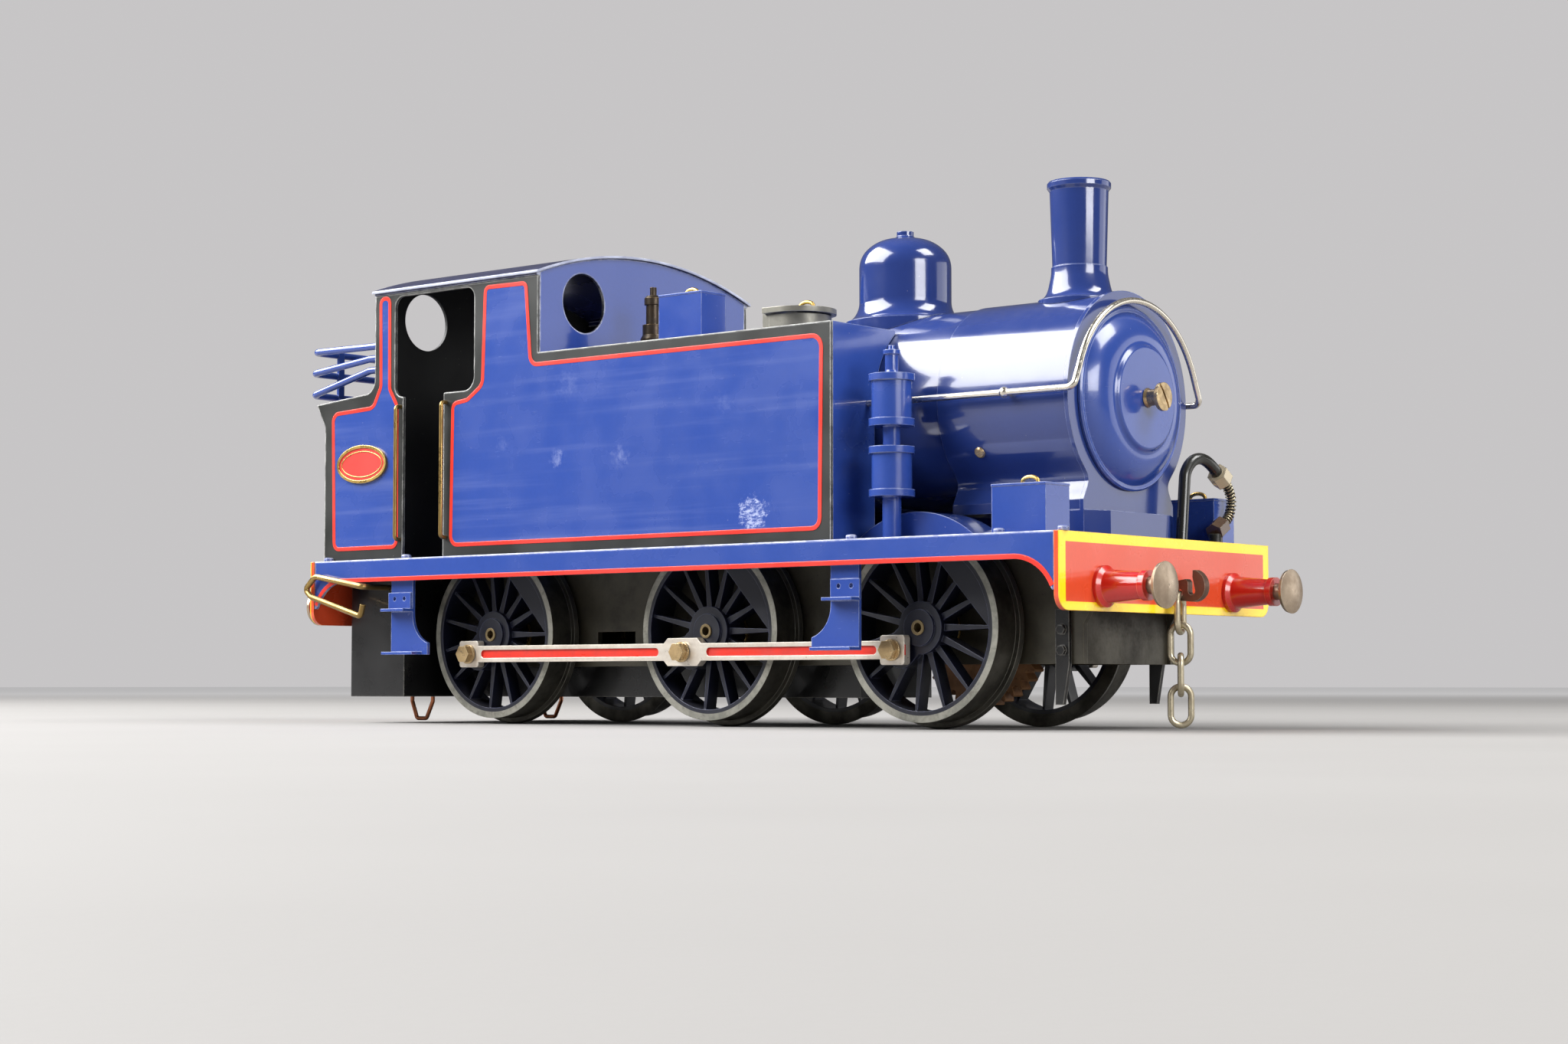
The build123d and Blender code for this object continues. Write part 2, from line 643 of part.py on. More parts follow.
def smokebox_front_outline(radius, skirt):
    """Round smokebox front that narrows to a waist and spreads to its saddle."""
    start_y = radius * cos(FLARE_START)
    start_z = BOILER_Z + radius * sin(FLARE_START)
    with BuildLine() as border:
        ThreePointArc((-start_y, start_z), (0, BOILER_Z + radius), (start_y, start_z))
        for side in SIDES:
            Spline(
                (side * start_y, start_z),
                (side * (WAIST_Y + skirt), WAIST_Z),
                (side * (SKIRT_Y + skirt), SADDLE_TOP + 2.2),
                tangents=[(-side * 0.53, -0.85), (side * 0.45, -0.9)],
            )
            Line((side * (SKIRT_Y + skirt), SADDLE_TOP + 2.2), (side * (SKIRT_Y + skirt), SADDLE_TOP))
        Line((-(SKIRT_Y + skirt), SADDLE_TOP), (SKIRT_Y + skirt, SADDLE_TOP))
    make_face(border.edges())


with BuildPart() as smokebox:
    with BuildSketch(Plane.YZ.offset(SMOKEBOX_FRONT_X - 1.0)):
        smokebox_front_outline(FACE_R, 0)
    extrude(amount=1.0)
    with BuildSketch(Plane.YZ.offset(SMOKEBOX_REAR_X + 0.02)):
        smokebox_front_outline(SMOKEBOX_R, -0.6)
        with Locations((0, BOILER_Z)):
            Circle(SMOKEBOX_R - BARREL_T, mode=Mode.SUBTRACT)
    extrude(amount=SMOKEBOX_FRONT_X - SMOKEBOX_REAR_X - 1.0)
    with BuildSketch(Plane.YZ.offset(SMOKEBOX_FRONT_X - 2.0)):
        with Locations((0, BOILER_Z)):
            Circle(16.5)
    extrude(amount=4.0, mode=Mode.SUBTRACT)
    with BuildSketch(Plane.XY.offset(DECK_TOP)):
        with BuildLine():
            Polyline(
                (72.0, -SKIRT_Y),
                (SMOKEBOX_FRONT_X, -SKIRT_Y),
                (97.4, -11.5),
                (97.4, 11.5),
                (SMOKEBOX_FRONT_X, SKIRT_Y),
                (72.0, SKIRT_Y),
                close=True,
            )
        make_face()
    extrude(amount=SADDLE_TOP - DECK_TOP)
    with BuildSketch(Plane.XY.offset(BOILER_Z)):
        with Locations((CHIMNEY_X, 0)):
            Circle(4.8)
    extrude(amount=SMOKEBOX_R + 2, mode=Mode.SUBTRACT)
save(smokebox.part, "smokebox")

BOILER_SECTION = Plane(origin=(0, 0, BOILER_Z), x_dir=(1, 0, 0), z_dir=(0, -1, 0))

# Dished door on a hinge pin at its left-hand edge, with a brass dart in the middle.
DOOR_X = SMOKEBOX_FRONT_X + 0.15
DOOR_BULGE = 4.6
with BuildPart() as smokebox_door:
    with BuildSketch(BOILER_SECTION):
        with BuildLine():
            Polyline(
                (DOOR_X, 1.3),
                (DOOR_X, DOOR_R),
                (DOOR_X + 0.55, DOOR_R),
                (DOOR_X + 0.9, DOOR_R - 0.4),
                (DOOR_X + 0.75, DOOR_R - 1.1),
            )
            ThreePointArc(
                (DOOR_X + 0.75, DOOR_R - 1.1),
                (DOOR_X + 2.85, DOOR_R - 3.9),
                (DOOR_X + 3.7, 12.0),
            )
            Spline(
                (DOOR_X + 3.7, 12.0),
                (DOOR_X + 4.0, 11.3),
                (DOOR_X + DOOR_BULGE, 10.5),
                tangents=[(0.15, -1), (0.2, -1)],
            )
            Line((DOOR_X + DOOR_BULGE, 10.5), (DOOR_X + DOOR_BULGE, 1.3))
            Line((DOOR_X + DOOR_BULGE, 1.3), (DOOR_X, 1.3))
        make_face()
    revolve(axis=Axis((0, 0, BOILER_Z), (1, 0, 0)), revolution_arc=360)
    with BuildSketch(Plane.YZ.offset(DOOR_X - 0.05)):
        with Locations((0, BOILER_Z)):
            Circle(14.5)
    extrude(amount=2.2, mode=Mode.SUBTRACT)
    with BuildSketch(Plane.YZ.offset(DOOR_X)):
        with Locations((0, BOILER_Z)):
            Circle(3.0)
            Circle(1.3, mode=Mode.SUBTRACT)
    extrude(amount=2.5)
save(smokebox_door.part, "smokebox_door")

KNOB_X = DOOR_X + DOOR_BULGE + 0.1
with BuildPart() as door_knob:
    with BuildSketch(BOILER_SECTION):
        with BuildLine():
            Polyline(
                (DOOR_X - 1.2, 0),
                (DOOR_X - 1.2, 1.3 - RUN_GAP),
                (KNOB_X, 1.3 - RUN_GAP),
                (KNOB_X, 2.1),
                (KNOB_X + 0.6, 1.75),
                (KNOB_X + 2.9, 1.75),
                (KNOB_X + 3.2, 3.0),
                (KNOB_X + 4.0, 3.0),
                (KNOB_X + 4.2, 1.7),
                (KNOB_X + 4.2, 0),
                close=True,
            )
        make_face()
    revolve(axis=Axis((0, 0, BOILER_Z), (1, 0, 0)), revolution_arc=360)
    with BuildSketch(Plane.YZ.offset(KNOB_X + 3.7)):
        with Locations((0, BOILER_Z)):
            Rectangle(0.6, 7.0, rotation=35)
    extrude(amount=2, mode=Mode.SUBTRACT)
save(door_knob.part, "door_knob")

# ---- chimney and dome, both turned and cut to sit on the barrel ------------------------------------
with BuildPart() as chimney:
    with BuildSketch(Plane.XZ):
        with BuildLine():
            Polyline(
                (CHIMNEY_X + 4.8, 85.0),
                (CHIMNEY_X + 4.8, CHIMNEY_TOP),
                (CHIMNEY_X + 6.5, CHIMNEY_TOP),
                (CHIMNEY_X + 6.85, CHIMNEY_TOP - 0.4),
                (CHIMNEY_X + 6.85, CHIMNEY_TOP - 1.4),
                (CHIMNEY_X + 6.3, CHIMNEY_TOP - 2.1),
                (CHIMNEY_X + 5.8, 98.6),           # shoulder where the barrel meets its flared foot
                (CHIMNEY_X + 6.05, 98.5),
                (CHIMNEY_X + 6.05, 98.0),
            )
            Spline(
                (CHIMNEY_X + 6.05, 98.0),
                (CHIMNEY_X + 6.5, 94.9),
                (CHIMNEY_X + 8.9, 91.4),
                tangents=[(0, -1), (1, -0.25)],
            )
            Polyline(
                (CHIMNEY_X + 8.9, 91.4),
                (CHIMNEY_X + 8.9, 85.0),
                (CHIMNEY_X + 4.8, 85.0),
            )
        make_face()
    revolve(axis=Axis((CHIMNEY_X, 0, 0), (0, 0, 1)), revolution_arc=360)
    with BuildSketch(Plane.YZ.offset(SMOKEBOX_REAR_X)):
        with Locations((0, BOILER_Z)):
            Circle(SMOKEBOX_R + 0.03)
    extrude(amount=40, mode=Mode.SUBTRACT)
save(chimney.part, "chimney")

with BuildPart() as dome:
    with BuildSketch(Plane.XZ):
        with BuildLine():
            Line((DOME_X, 85.0), (DOME_X, 111.2))
            Polyline((DOME_X, 111.2), (DOME_X + 1.9, 111.2), (DOME_X + 1.9, 110.2), (DOME_X + 2.6, 109.6))
            Spline(
                (DOME_X + 2.6, 109.6),
                (DOME_X + 8.0, 107.6),
                (DOME_X + DOME_R, 102.6),
                tangents=[(1, -0.05), (0, -1)],
            )
            Line((DOME_X + DOME_R, 102.6), (DOME_X + DOME_R, 95.2))
            Spline(
                (DOME_X + DOME_R, 95.2),
                (DOME_X + 10.9, 92.9),
                (DOME_X + 13.4, 90.6),
                tangents=[(0, -1), (1, -0.3)],
            )
            Polyline((DOME_X + 13.4, 90.6), (DOME_X + 13.4, 85.0), (DOME_X, 85.0))
        make_face()
    revolve(axis=Axis((DOME_X, 0, 0), (0, 0, 1)), revolution_arc=360)
    with BuildSketch(Plane.YZ.offset(DOME_X - 30)):
        with Locations((0, BOILER_Z)):
            Circle(BOILER_R + 0.03)
    extrude(amount=60, mode=Mode.SUBTRACT)
    split(bisect_by=Plane.XY.offset(BOILER_Z), keep=Keep.TOP)
save(dome.part, "dome")

# ---- handrail round the boiler, on ball pillars ----------------------------------------------------
WIRE_R = 0.7
HANDRAIL_Y = 24.6
HANDRAIL_Z = 69.9
ARCH_X = 97.2
ARCH_FOOT = (22.3, 75.0)
ARCH_TOP = 90.0
PILLAR_X = 80.0
with BuildPart() as boiler_handrail:
    for side in SIDES:
        with BuildLine() as straight_path:
            FilletPolyline(
                (TANK_FRONT_X + 0.05, side * HANDRAIL_Y, HANDRAIL_Z),
                (ARCH_X, side * HANDRAIL_Y, HANDRAIL_Z),
                (ARCH_X, side * ARCH_FOOT[0], ARCH_FOOT[1]),
                radius=1.6,
            )
        with BuildSketch(Plane(origin=straight_path.line @ 0, z_dir=straight_path.line % 0)):
            Circle(WIRE_R)
        sweep(path=straight_path.line)
        with Locations((ARCH_X, side * ARCH_FOOT[0], ARCH_FOOT[1])):
            Sphere(WIRE_R)
    with BuildLine() as arch_path:
        ThreePointArc(
            (ARCH_X, -ARCH_FOOT[0], ARCH_FOOT[1]),
            (ARCH_X, 0, ARCH_TOP),
            (ARCH_X, ARCH_FOOT[0], ARCH_FOOT[1]),
        )
    with BuildSketch(Plane(origin=arch_path.line @ 0, z_dir=arch_path.line % 0)):
        Circle(WIRE_R)
    sweep(path=arch_path.line)
    for side in SIDES:
        with Locations((PILLAR_X, side * HANDRAIL_Y, HANDRAIL_Z)):
            Sphere(1.15)
        with BuildSketch(side_plane(side * HANDRAIL_Y + (side < 0) * (HANDRAIL_Y - SMOKEBOX_R - 0.05))):
            with Locations((PILLAR_X, HANDRAIL_Z)):
                Circle(0.65)
        extrude(amount=HANDRAIL_Y - SMOKEBOX_R - 0.05)
save(boiler_handrail.part, "boiler_handrail")

# ---- air pump on the right-hand side: two cylinders on one rod -------------------------------------
PUMP_X = 55.5
PUMP_Y = -31.0
PUMP_STEPS = (            # height, radius of the turned outline, from the bottom up
    (DECK_TOP + 0.02, 2.0), (48.9, 2.0), (48.9, 4.9), (50.4, 4.9), (50.4, 4.3), (58.0, 4.3),
    (58.0, 4.9), (59.5, 4.9), (59.5, 1.85), (63.8, 1.85), (63.8, 4.9), (65.4, 4.9),
    (65.4, 4.3), (73.4, 4.3), (73.4, 4.9), (74.9, 4.9), (74.9, 1.7), (75.7, 1.4),
    (79.0, 1.4), (79.1, 1.8), (80.0, 1.8), (80.1, 0.8), (81.0, 0.7),
)
with BuildPart() as air_pump:
    with BuildSketch(Plane.XZ.offset(-PUMP_Y)):
        with BuildLine():
            Polyline(
                (PUMP_X, PUMP_STEPS[0][0]),
                *[(PUMP_X + r, z) for z, r in PUMP_STEPS],
                (PUMP_X, PUMP_STEPS[-1][0]),
                close=True,
            )
        make_face()
    revolve(axis=Axis((PUMP_X, PUMP_Y, 0), (0, 0, 1)), revolution_arc=360)
save(air_pump.part, "air_pump")

# ---- sandboxes beside the smokebox -------------------------------------------------------------------
SAND_X = 91.7
SAND_Y = 32.3
SAND_TOP = 49.9
with BuildPart() as sandboxes:
    for side in SIDES:
        with BuildSketch(Plane.XY.offset(DECK_TOP + 0.02)):
            with Locations((SAND_X, side * SAND_Y)):
                Rectangle(13.2, 8.4)
        extrude(amount=SAND_TOP - DECK_TOP - 0.52)
        with BuildSketch(Plane.XY.offset(SAND_TOP - 0.5)):
            with Locations((SAND_X, side * SAND_Y)):
                Rectangle(13.4, 8.6)
        extrude(amount=0.5)
save(sandboxes.part, "sandboxes")

# ---- splashers over the wheels ------------------------------------------------------------------------
SPLASH_R = 24.4
SPLASH_T = 0.6
with BuildPart() as splashers:
    for axle_x in AXLE_X.values():
        for side in SIDES:
            for radius, start, width, mode in (
                (SPLASH_R, 18.0, 10.0, Mode.ADD),
                (SPLASH_R - SPLASH_T, 18.0 - 0.1, 10.0 - SPLASH_T + 0.1, Mode.SUBTRACT),
            ):
                with BuildSketch(wheel_plane(axle_x, side, start)) as ring:
                    with BuildLine():
                        lift = DECK_TOP + 0.02 - AXLE_Z if mode is Mode.ADD else DECK_TOP - 1 - AXLE_Z
                        half = sqrt(radius**2 - lift**2)
                        ThreePointArc((-half, -side * lift), (0, -side * radius), (half, -side * lift))
                        Line((half, -side * lift), (-half, -side * lift))
                    make_face()
                extrude(amount=width, mode=mode)
    with BuildSketch(Plane.XY.offset(DECK_TOP)):
        with Locations((TANK_FRONT_X - 1.95, 0)):
            Rectangle(4.0, 60.0, mode=Mode.ADD)
    extrude(amount=8, mode=Mode.SUBTRACT)
save(splashers.part, "splashers")

# ---- fittings on the tank tops ------------------------------------------------------------------------
BOX_C = (-4.6, -26.9)
with BuildPart() as toolbox:
    with BuildSketch(Plane.XY.offset(TANK_TOP + 0.02)):
        with Locations(BOX_C):
            Rectangle(12.9, 8.3)
    extrude(amount=10.6)
    with BuildSketch(Plane.XY.offset(TANK_TOP + 10.62)):
        with Locations(BOX_C):
            Rectangle(13.1, 8.5)
    extrude(amount=0.45)
save(toolbox.part, "toolbox")



def filler_outline(grow):
    """D-shaped outline: square towards the cab, half round towards the front."""
    with BuildLine() as border:
        Line((FILLER_X - grow, FILLER_Y - FILLER_R - grow), (FILLER_X + 3.0, FILLER_Y - FILLER_R - grow))
        ThreePointArc(
            (FILLER_X + 3.0, FILLER_Y - FILLER_R - grow),
            (FILLER_X + 3.0 + FILLER_R + grow, FILLER_Y),
            (FILLER_X + 3.0, FILLER_Y + FILLER_R + grow),
        )
        Line((FILLER_X + 3.0, FILLER_Y + FILLER_R + grow), (FILLER_X - grow, FILLER_Y + FILLER_R + grow))
        Line((FILLER_X - grow, FILLER_Y + FILLER_R + grow), (FILLER_X - grow, FILLER_Y - FILLER_R - grow))
    make_face(border.edges())


LID_PIN_X = FILLER_X - 2.4
LID_PIN_Z = FILLER_TOP + 0.95
with BuildPart() as filler_neck:
    with BuildSketch(Plane.XY.offset(TANK_TOP + 0.02)):
        filler_outline(0)
    extrude(amount=FILLER_TOP - TANK_TOP - 0.02)
    with BuildSketch(Plane.XY.offset(TANK_TOP)):
        with Locations(FILLER_MOUTH):
            Circle(FILLER_BORE)
    extrude(amount=6, mode=Mode.SUBTRACT)
    for y in (FILLER_Y - 4.0, FILLER_Y + 4.0):
        with BuildSketch(side_plane(y + 0.9)):
            with BuildLine():
                Polyline(
                    (FILLER_X + 0.4, TANK_TOP + 0.02),
                    (LID_PIN_X - 1.2, TANK_TOP + 0.02),
                    (LID_PIN_X - 1.2, LID_PIN_Z + 1.1),
                    (LID_PIN_X + 1.0, LID_PIN_Z + 1.1),
                    (LID_PIN_X + 1.0, FILLER_TOP - 0.3),
                    (FILLER_X + 0.4, FILLER_TOP - 0.3),
                    close=True,
                )
            make_face()
            with Locations((LID_PIN_X, LID_PIN_Z)):
                Circle(HINGE_PIN_R + RUN_GAP, mode=Mode.SUBTRACT)
        extrude(amount=1.8)
save(filler_neck.part, "filler_neck")

with BuildPart() as filler_lid:
    with BuildSketch(Plane.XY.offset(FILLER_TOP + 0.3)):
        filler_outline(1.1)
    extrude(amount=1.2)
    with BuildSketch(Plane.XY.offset(FILLER_TOP)):
        for y in (FILLER_Y - 4.0, FILLER_Y + 4.0):
            with Locations((FILLER_X - 1.2, y)):
                Rectangle(4.4, 2.4)
    extrude(amount=3, mode=Mode.SUBTRACT)
    with BuildSketch(side_plane(FILLER_Y + 5.6)):
        with Locations((LID_PIN_X, LID_PIN_Z)):
            Circle(HINGE_PIN_R)
    extrude(amount=11.2)
    with BuildSketch(side_plane(FILLER_Y + 2.2)):
        with BuildLine():
            Line((LID_PIN_X, LID_PIN_Z + 0.9), (FILLER_X + 2.0, LID_PIN_Z + 0.5))
            Line((FILLER_X + 2.0, LID_PIN_Z + 0.5), (FILLER_X + 2.0, LID_PIN_Z - 0.6))
            Line((FILLER_X + 2.0, LID_PIN_Z - 0.6), (LID_PIN_X, LID_PIN_Z - 0.6))
            ThreePointArc(
                (LID_PIN_X, LID_PIN_Z - 0.6),
                (LID_PIN_X - 0.75, LID_PIN_Z + 0.15),
                (LID_PIN_X, LID_PIN_Z + 0.9),
            )
        make_face()
    extrude(amount=4.4)
save(filler_lid.part, "filler_lid")

VALVE_X = -31.0
VALVE_Y = -11.2
VALVE_STEPS = (
    (87.0, 3.0), (91.3, 3.0), (92.2, 2.5), (94.6, 2.5), (94.6, 1.7), (99.4, 1.7), (99.4, 2.1),
    (101.0, 2.1), (101.6, 1.5), (101.6, 0.8), (103.6, 0.8),
)
with BuildPart() as safety_valve:
    with BuildSketch(Plane.XZ.offset(-VALVE_Y)):
        with BuildLine():
            Polyline(
                (VALVE_X, VALVE_STEPS[0][0]),
                *[(VALVE_X + r, z) for z, r in VALVE_STEPS],
                (VALVE_X, VALVE_STEPS[-1][0]),
                close=True,
            )
        make_face()
    revolve(axis=Axis((VALVE_X, VALVE_Y, 0), (0, 0, 1)), revolution_arc=360)
    with BuildSketch(Plane.YZ.offset(VALVE_X - 6)):
        with Locations((0, BOILER_Z)):
            Circle(BOILER_R + 0.03)
    extrude(amount=12, mode=Mode.SUBTRACT)
save(safety_valve.part, "safety_valve")

# ---- brake pipe and hose at the front ----------------------------------------------------------------
PIPE_X = 98.6             # the standpipe leans past the edge of the door
HOSE_X = 100.4
PIPE_R = 1.25
PIPE_FOOT = (PIPE_X, 14.05, DECK_TOP - 1.0)
PIPE_ROUTE = (
    (PIPE_X, 15.66, 53.37), (PIPE_X + 0.05, 16.3, 55.2), (PIPE_X + 0.5, 18.4, 57.4),
    (PIPE_X + 1.0, 20.6, 57.9), (PIPE_X + 1.5, 22.7, 57.25), (HOSE_X, 24.85, 55.9), (HOSE_X, 27.2, 54.44),
)
HOSE_ROUTE = (
    (HOSE_X, 27.35, 54.35), (HOSE_X, 30.1, 52.6), (HOSE_X, 31.85, 49.5), (HOSE_X, 31.1, 46.4),
    (HOSE_X, 29.2, 44.65), (HOSE_X, 26.9, 43.41),
)
HOSE_ENDS = [(0, 0.852, -0.524), (0, -1.75, -1.0)]
HOSE_R = 1.05


def union_nut(centre, direction, length, radius):
    """Hexagon nut along a pipe, from its rear face."""
    with BuildSketch(Plane(origin=centre, z_dir=direction)) as hexagon:
        RegularPolygon(radius, 6)
    extrude(hexagon.sketch, amount=length)


with BuildPart() as brake_pipe:
    with BuildLine() as pipe_path:
        Line(PIPE_FOOT, PIPE_ROUTE[0])
        Spline(*PIPE_ROUTE, tangents=[(0, 1.61, 14.52), (0, 0.852, -0.524)])
    with BuildSketch(Plane(origin=pipe_path.line @ 0, z_dir=pipe_path.line % 0)):
        Circle(PIPE_R)
    sweep(path=pipe_path.line)
    union_nut((HOSE_X, 26.0, 55.18), (0, 0.852, -0.524), 3.1, 2.35)
    union_nut((HOSE_X, 24.6, 42.1), (0, 1.75, 1.0), 3.8, 2.1)
    with BuildSketch(Plane.XY.offset(DECK_TOP + 0.02)):
        with Locations((HOSE_X, 25.2)):
            Circle(1.5)
    extrude(amount=2.0)
    with BuildLine() as socket_path:
        Spline(*HOSE_ROUTE, tangents=HOSE_ENDS)
    with BuildSketch(Plane(origin=socket_path.line @ 0, z_dir=socket_path.line % 0)):
        Circle(HOSE_R + 0.02)
    sweep(path=socket_path.line, mode=Mode.SUBTRACT)
    with BuildSketch(Plane.XY.offset(DECK_TOP + 0.02)):       # the leaning pipe's foot is cut level
        with Locations((PIPE_X, 18.0)):
            Rectangle(10, 24)
    extrude(amount=-4, mode=Mode.SUBTRACT)
save(brake_pipe.part, "brake_pipe")

with BuildPart() as brake_hose:
    with BuildLine() as hose_path:
        Spline(*HOSE_ROUTE, tangents=HOSE_ENDS)
    with BuildSketch(Plane(origin=hose_path.line @ 0, z_dir=hose_path.line % 0)):
        Circle(HOSE_R)
    sweep(path=hose_path.line)
save(brake_hose.part, "brake_hose")

# ---- front coupling: hook and a chain of four links ----------------------------------------------------
EYE_X = 106.8             # eye in the hook's shank that the first link hangs through
EYE_Z = 28.15
EYE_R = 1.15
HOOK_T = 1.8
HOOK_BOTTOM = 26.5
HOOK_TOP = 33.0
BOWL_X = 110.1            # middle of the open bowl
BOWL_R = 0.85
with BuildPart() as coupling_hook:
    with BuildSketch(side_plane(HOOK_T / 2)):
        with BuildLine():
            Line((FRONT_BEAM_X + 0.02, HOOK_BOTTOM + 0.5), (FRONT_BEAM_X + 0.02, 30.6))
            Line((FRONT_BEAM_X + 0.02, 30.6), (BOWL_X - BOWL_R - 0.5, 31.2))
            Line((BOWL_X - BOWL_R - 0.5, 31.2), (BOWL_X - BOWL_R, 30.6))
            Line((BOWL_X - BOWL_R, 30.6), (BOWL_X - BOWL_R, 28.75))
            ThreePointArc(
                (BOWL_X - BOWL_R, 28.75),
                (BOWL_X, 28.75 - BOWL_R),
                (BOWL_X + BOWL_R, 28.75),
            )
            Line((BOWL_X + BOWL_R, 28.75), (BOWL_X + 0.2, 31.6))
            Line((BOWL_X + 0.2, 31.6), (BOWL_X + 0.3, HOOK_TOP))
            Line((BOWL_X + 0.3, HOOK_TOP), (BOWL_X + 0.9, HOOK_TOP))
            ThreePointArc(
                (BOWL_X + 0.9, HOOK_TOP),
                (BOWL_X + 2.6, 31.6),
                (BOWL_X + 3.2, 29.6),
            )
            ThreePointArc(
                (BOWL_X + 3.2, 29.6),
                (BOWL_X + 2.4, 27.5),
                (BOWL_X, HOOK_BOTTOM),
            )
            Line((BOWL_X, HOOK_BOTTOM), (FRONT_BEAM_X + 0.02, HOOK_BOTTOM + 0.5))
        make_face()
        with Locations((EYE_X, EYE_Z)):
            Circle(EYE_R, mode=Mode.SUBTRACT)
    extrude(amount=HOOK_T)
    mirror(about=Plane.YZ.offset((FRONT_BEAM_X + REAR_BEAM_X) / 2))
save(coupling_hook.part, "coupling_hooks")

LINK_R = 0.66             # wire radius of a link
LINK_IN_L = 6.65          # inside length of a link
LINK_IN_W = 2.9           # inside width of a link
LINK_GAP = 0.25           # slack between one link's wire and the next
LINK_AZIMUTH = (104.0, 20.0, 122.0, 38.0)   # direction of each link's flat, from +X towards +Y
LINK_TOP = EYE_Z + 0.1


def link_centres():
    """Height of the middle of each link, hanging one below another."""
    heights = []
    top_wire = LINK_TOP
    for _ in LINK_AZIMUTH:
        heights.append(top_wire - LINK_R - LINK_IN_L / 2)
        top_wire = top_wire - LINK_IN_L + LINK_GAP
    return heights


for number, (azimuth, middle) in enumerate(zip(LINK_AZIMUTH, link_centres()), start=1):
    across = Vector(cos(radians(azimuth)), sin(radians(azimuth)), 0)
    flat = Plane(origin=(EYE_X, 0, middle), x_dir=across, z_dir=across.cross(Vector(0, 0, 1)))
    with BuildPart() as chain_link:
        with BuildLine(flat) as link_path:
            half_w = LINK_IN_W / 2 + LINK_R
            straight = LINK_IN_L / 2 + LINK_R - half_w
            Line((half_w, -straight), (half_w, straight))
            ThreePointArc((half_w, straight), (0, straight + half_w), (-half_w, straight))
            Line((-half_w, straight), (-half_w, -straight))
            ThreePointArc((-half_w, -straight), (0, -straight - half_w), (half_w, -straight))
        with BuildSketch(Plane(origin=link_path.line @ 0, z_dir=link_path.line % 0)):
            Circle(LINK_R)
        sweep(path=link_path.line)
    save(chain_link.part, f"chain_link_{number}")

# ---- brass wire drop link at the rear right-hand corner ------------------------------------------------
DROP_Y = -42.0
with BuildPart() as rear_link:
    with BuildLine() as drop_path:
        FilletPolyline(
            (DROP_PIVOT[0], -BOX_Y + 2.0, DROP_PIVOT[1]),
            (DROP_PIVOT[0], DROP_Y, DROP_PIVOT[1]),
            (-115.9, DROP_Y, 36.1),
            (-119.6, DROP_Y, 32.9),
            (-117.4, DROP_Y, 31.1),
            (-99.0, DROP_Y, 26.0),
            (-98.2, DROP_Y, 28.8),
            radius=[0.9, 1.9, 1.1, 1.1, 0.9],
        )
    with BuildSketch(Plane(origin=drop_path.line @ 0, z_dir=drop_path.line % 0)):
        Circle(DROP_WIRE_R)
    sweep(path=drop_path.line)
save(rear_link.part, "rear_link")

# ---- copper wire pick-ups that rub on the rails ------------------------------------------------------
PICKUP_X = -97.0
PICKUP_Y = 22.6
with BuildPart() as pickup_wires:
    for side in SIDES:
        with BuildLine() as pickup_path:
            FilletPolyline(
                (PICKUP_X - 4.4, side * PICKUP_Y, BOX_BOTTOM - 0.02),
                (PICKUP_X - 4.4, side * PICKUP_Y, BOX_BOTTOM - 1.2),
                (PICKUP_X - 2.6, side * PICKUP_Y, 1.1),
                (PICKUP_X + 0.8, side * PICKUP_Y, 1.1),
                (PICKUP_X + 3.0, side * PICKUP_Y, BOX_BOTTOM - 1.2),
                (PICKUP_X + 3.0, side * PICKUP_Y, BOX_BOTTOM - 0.02),
                radius=[0.5, 0.9, 0.9, 0.5],
            )
        with BuildSketch(Plane(origin=pickup_path.line @ 0, z_dir=pickup_path.line % 0)):
            Circle(0.5)
        sweep(path=pickup_path.line)
save(pickup_wires.part, "pickup_wires")

# ---- running gear -----------------------------------------------------------------------------------
RIM_IN_R = 17.6
HUB_R = 5.6
HUB_CAP_R = 3.9
AXLE_END_R = 1.6
PIN_R = 1.5
ROD_IN_Y = 27.5
ROD_T = 2.0
WEIGHT_CHORD = 12.6
PIN_SEAT_R = 3.9


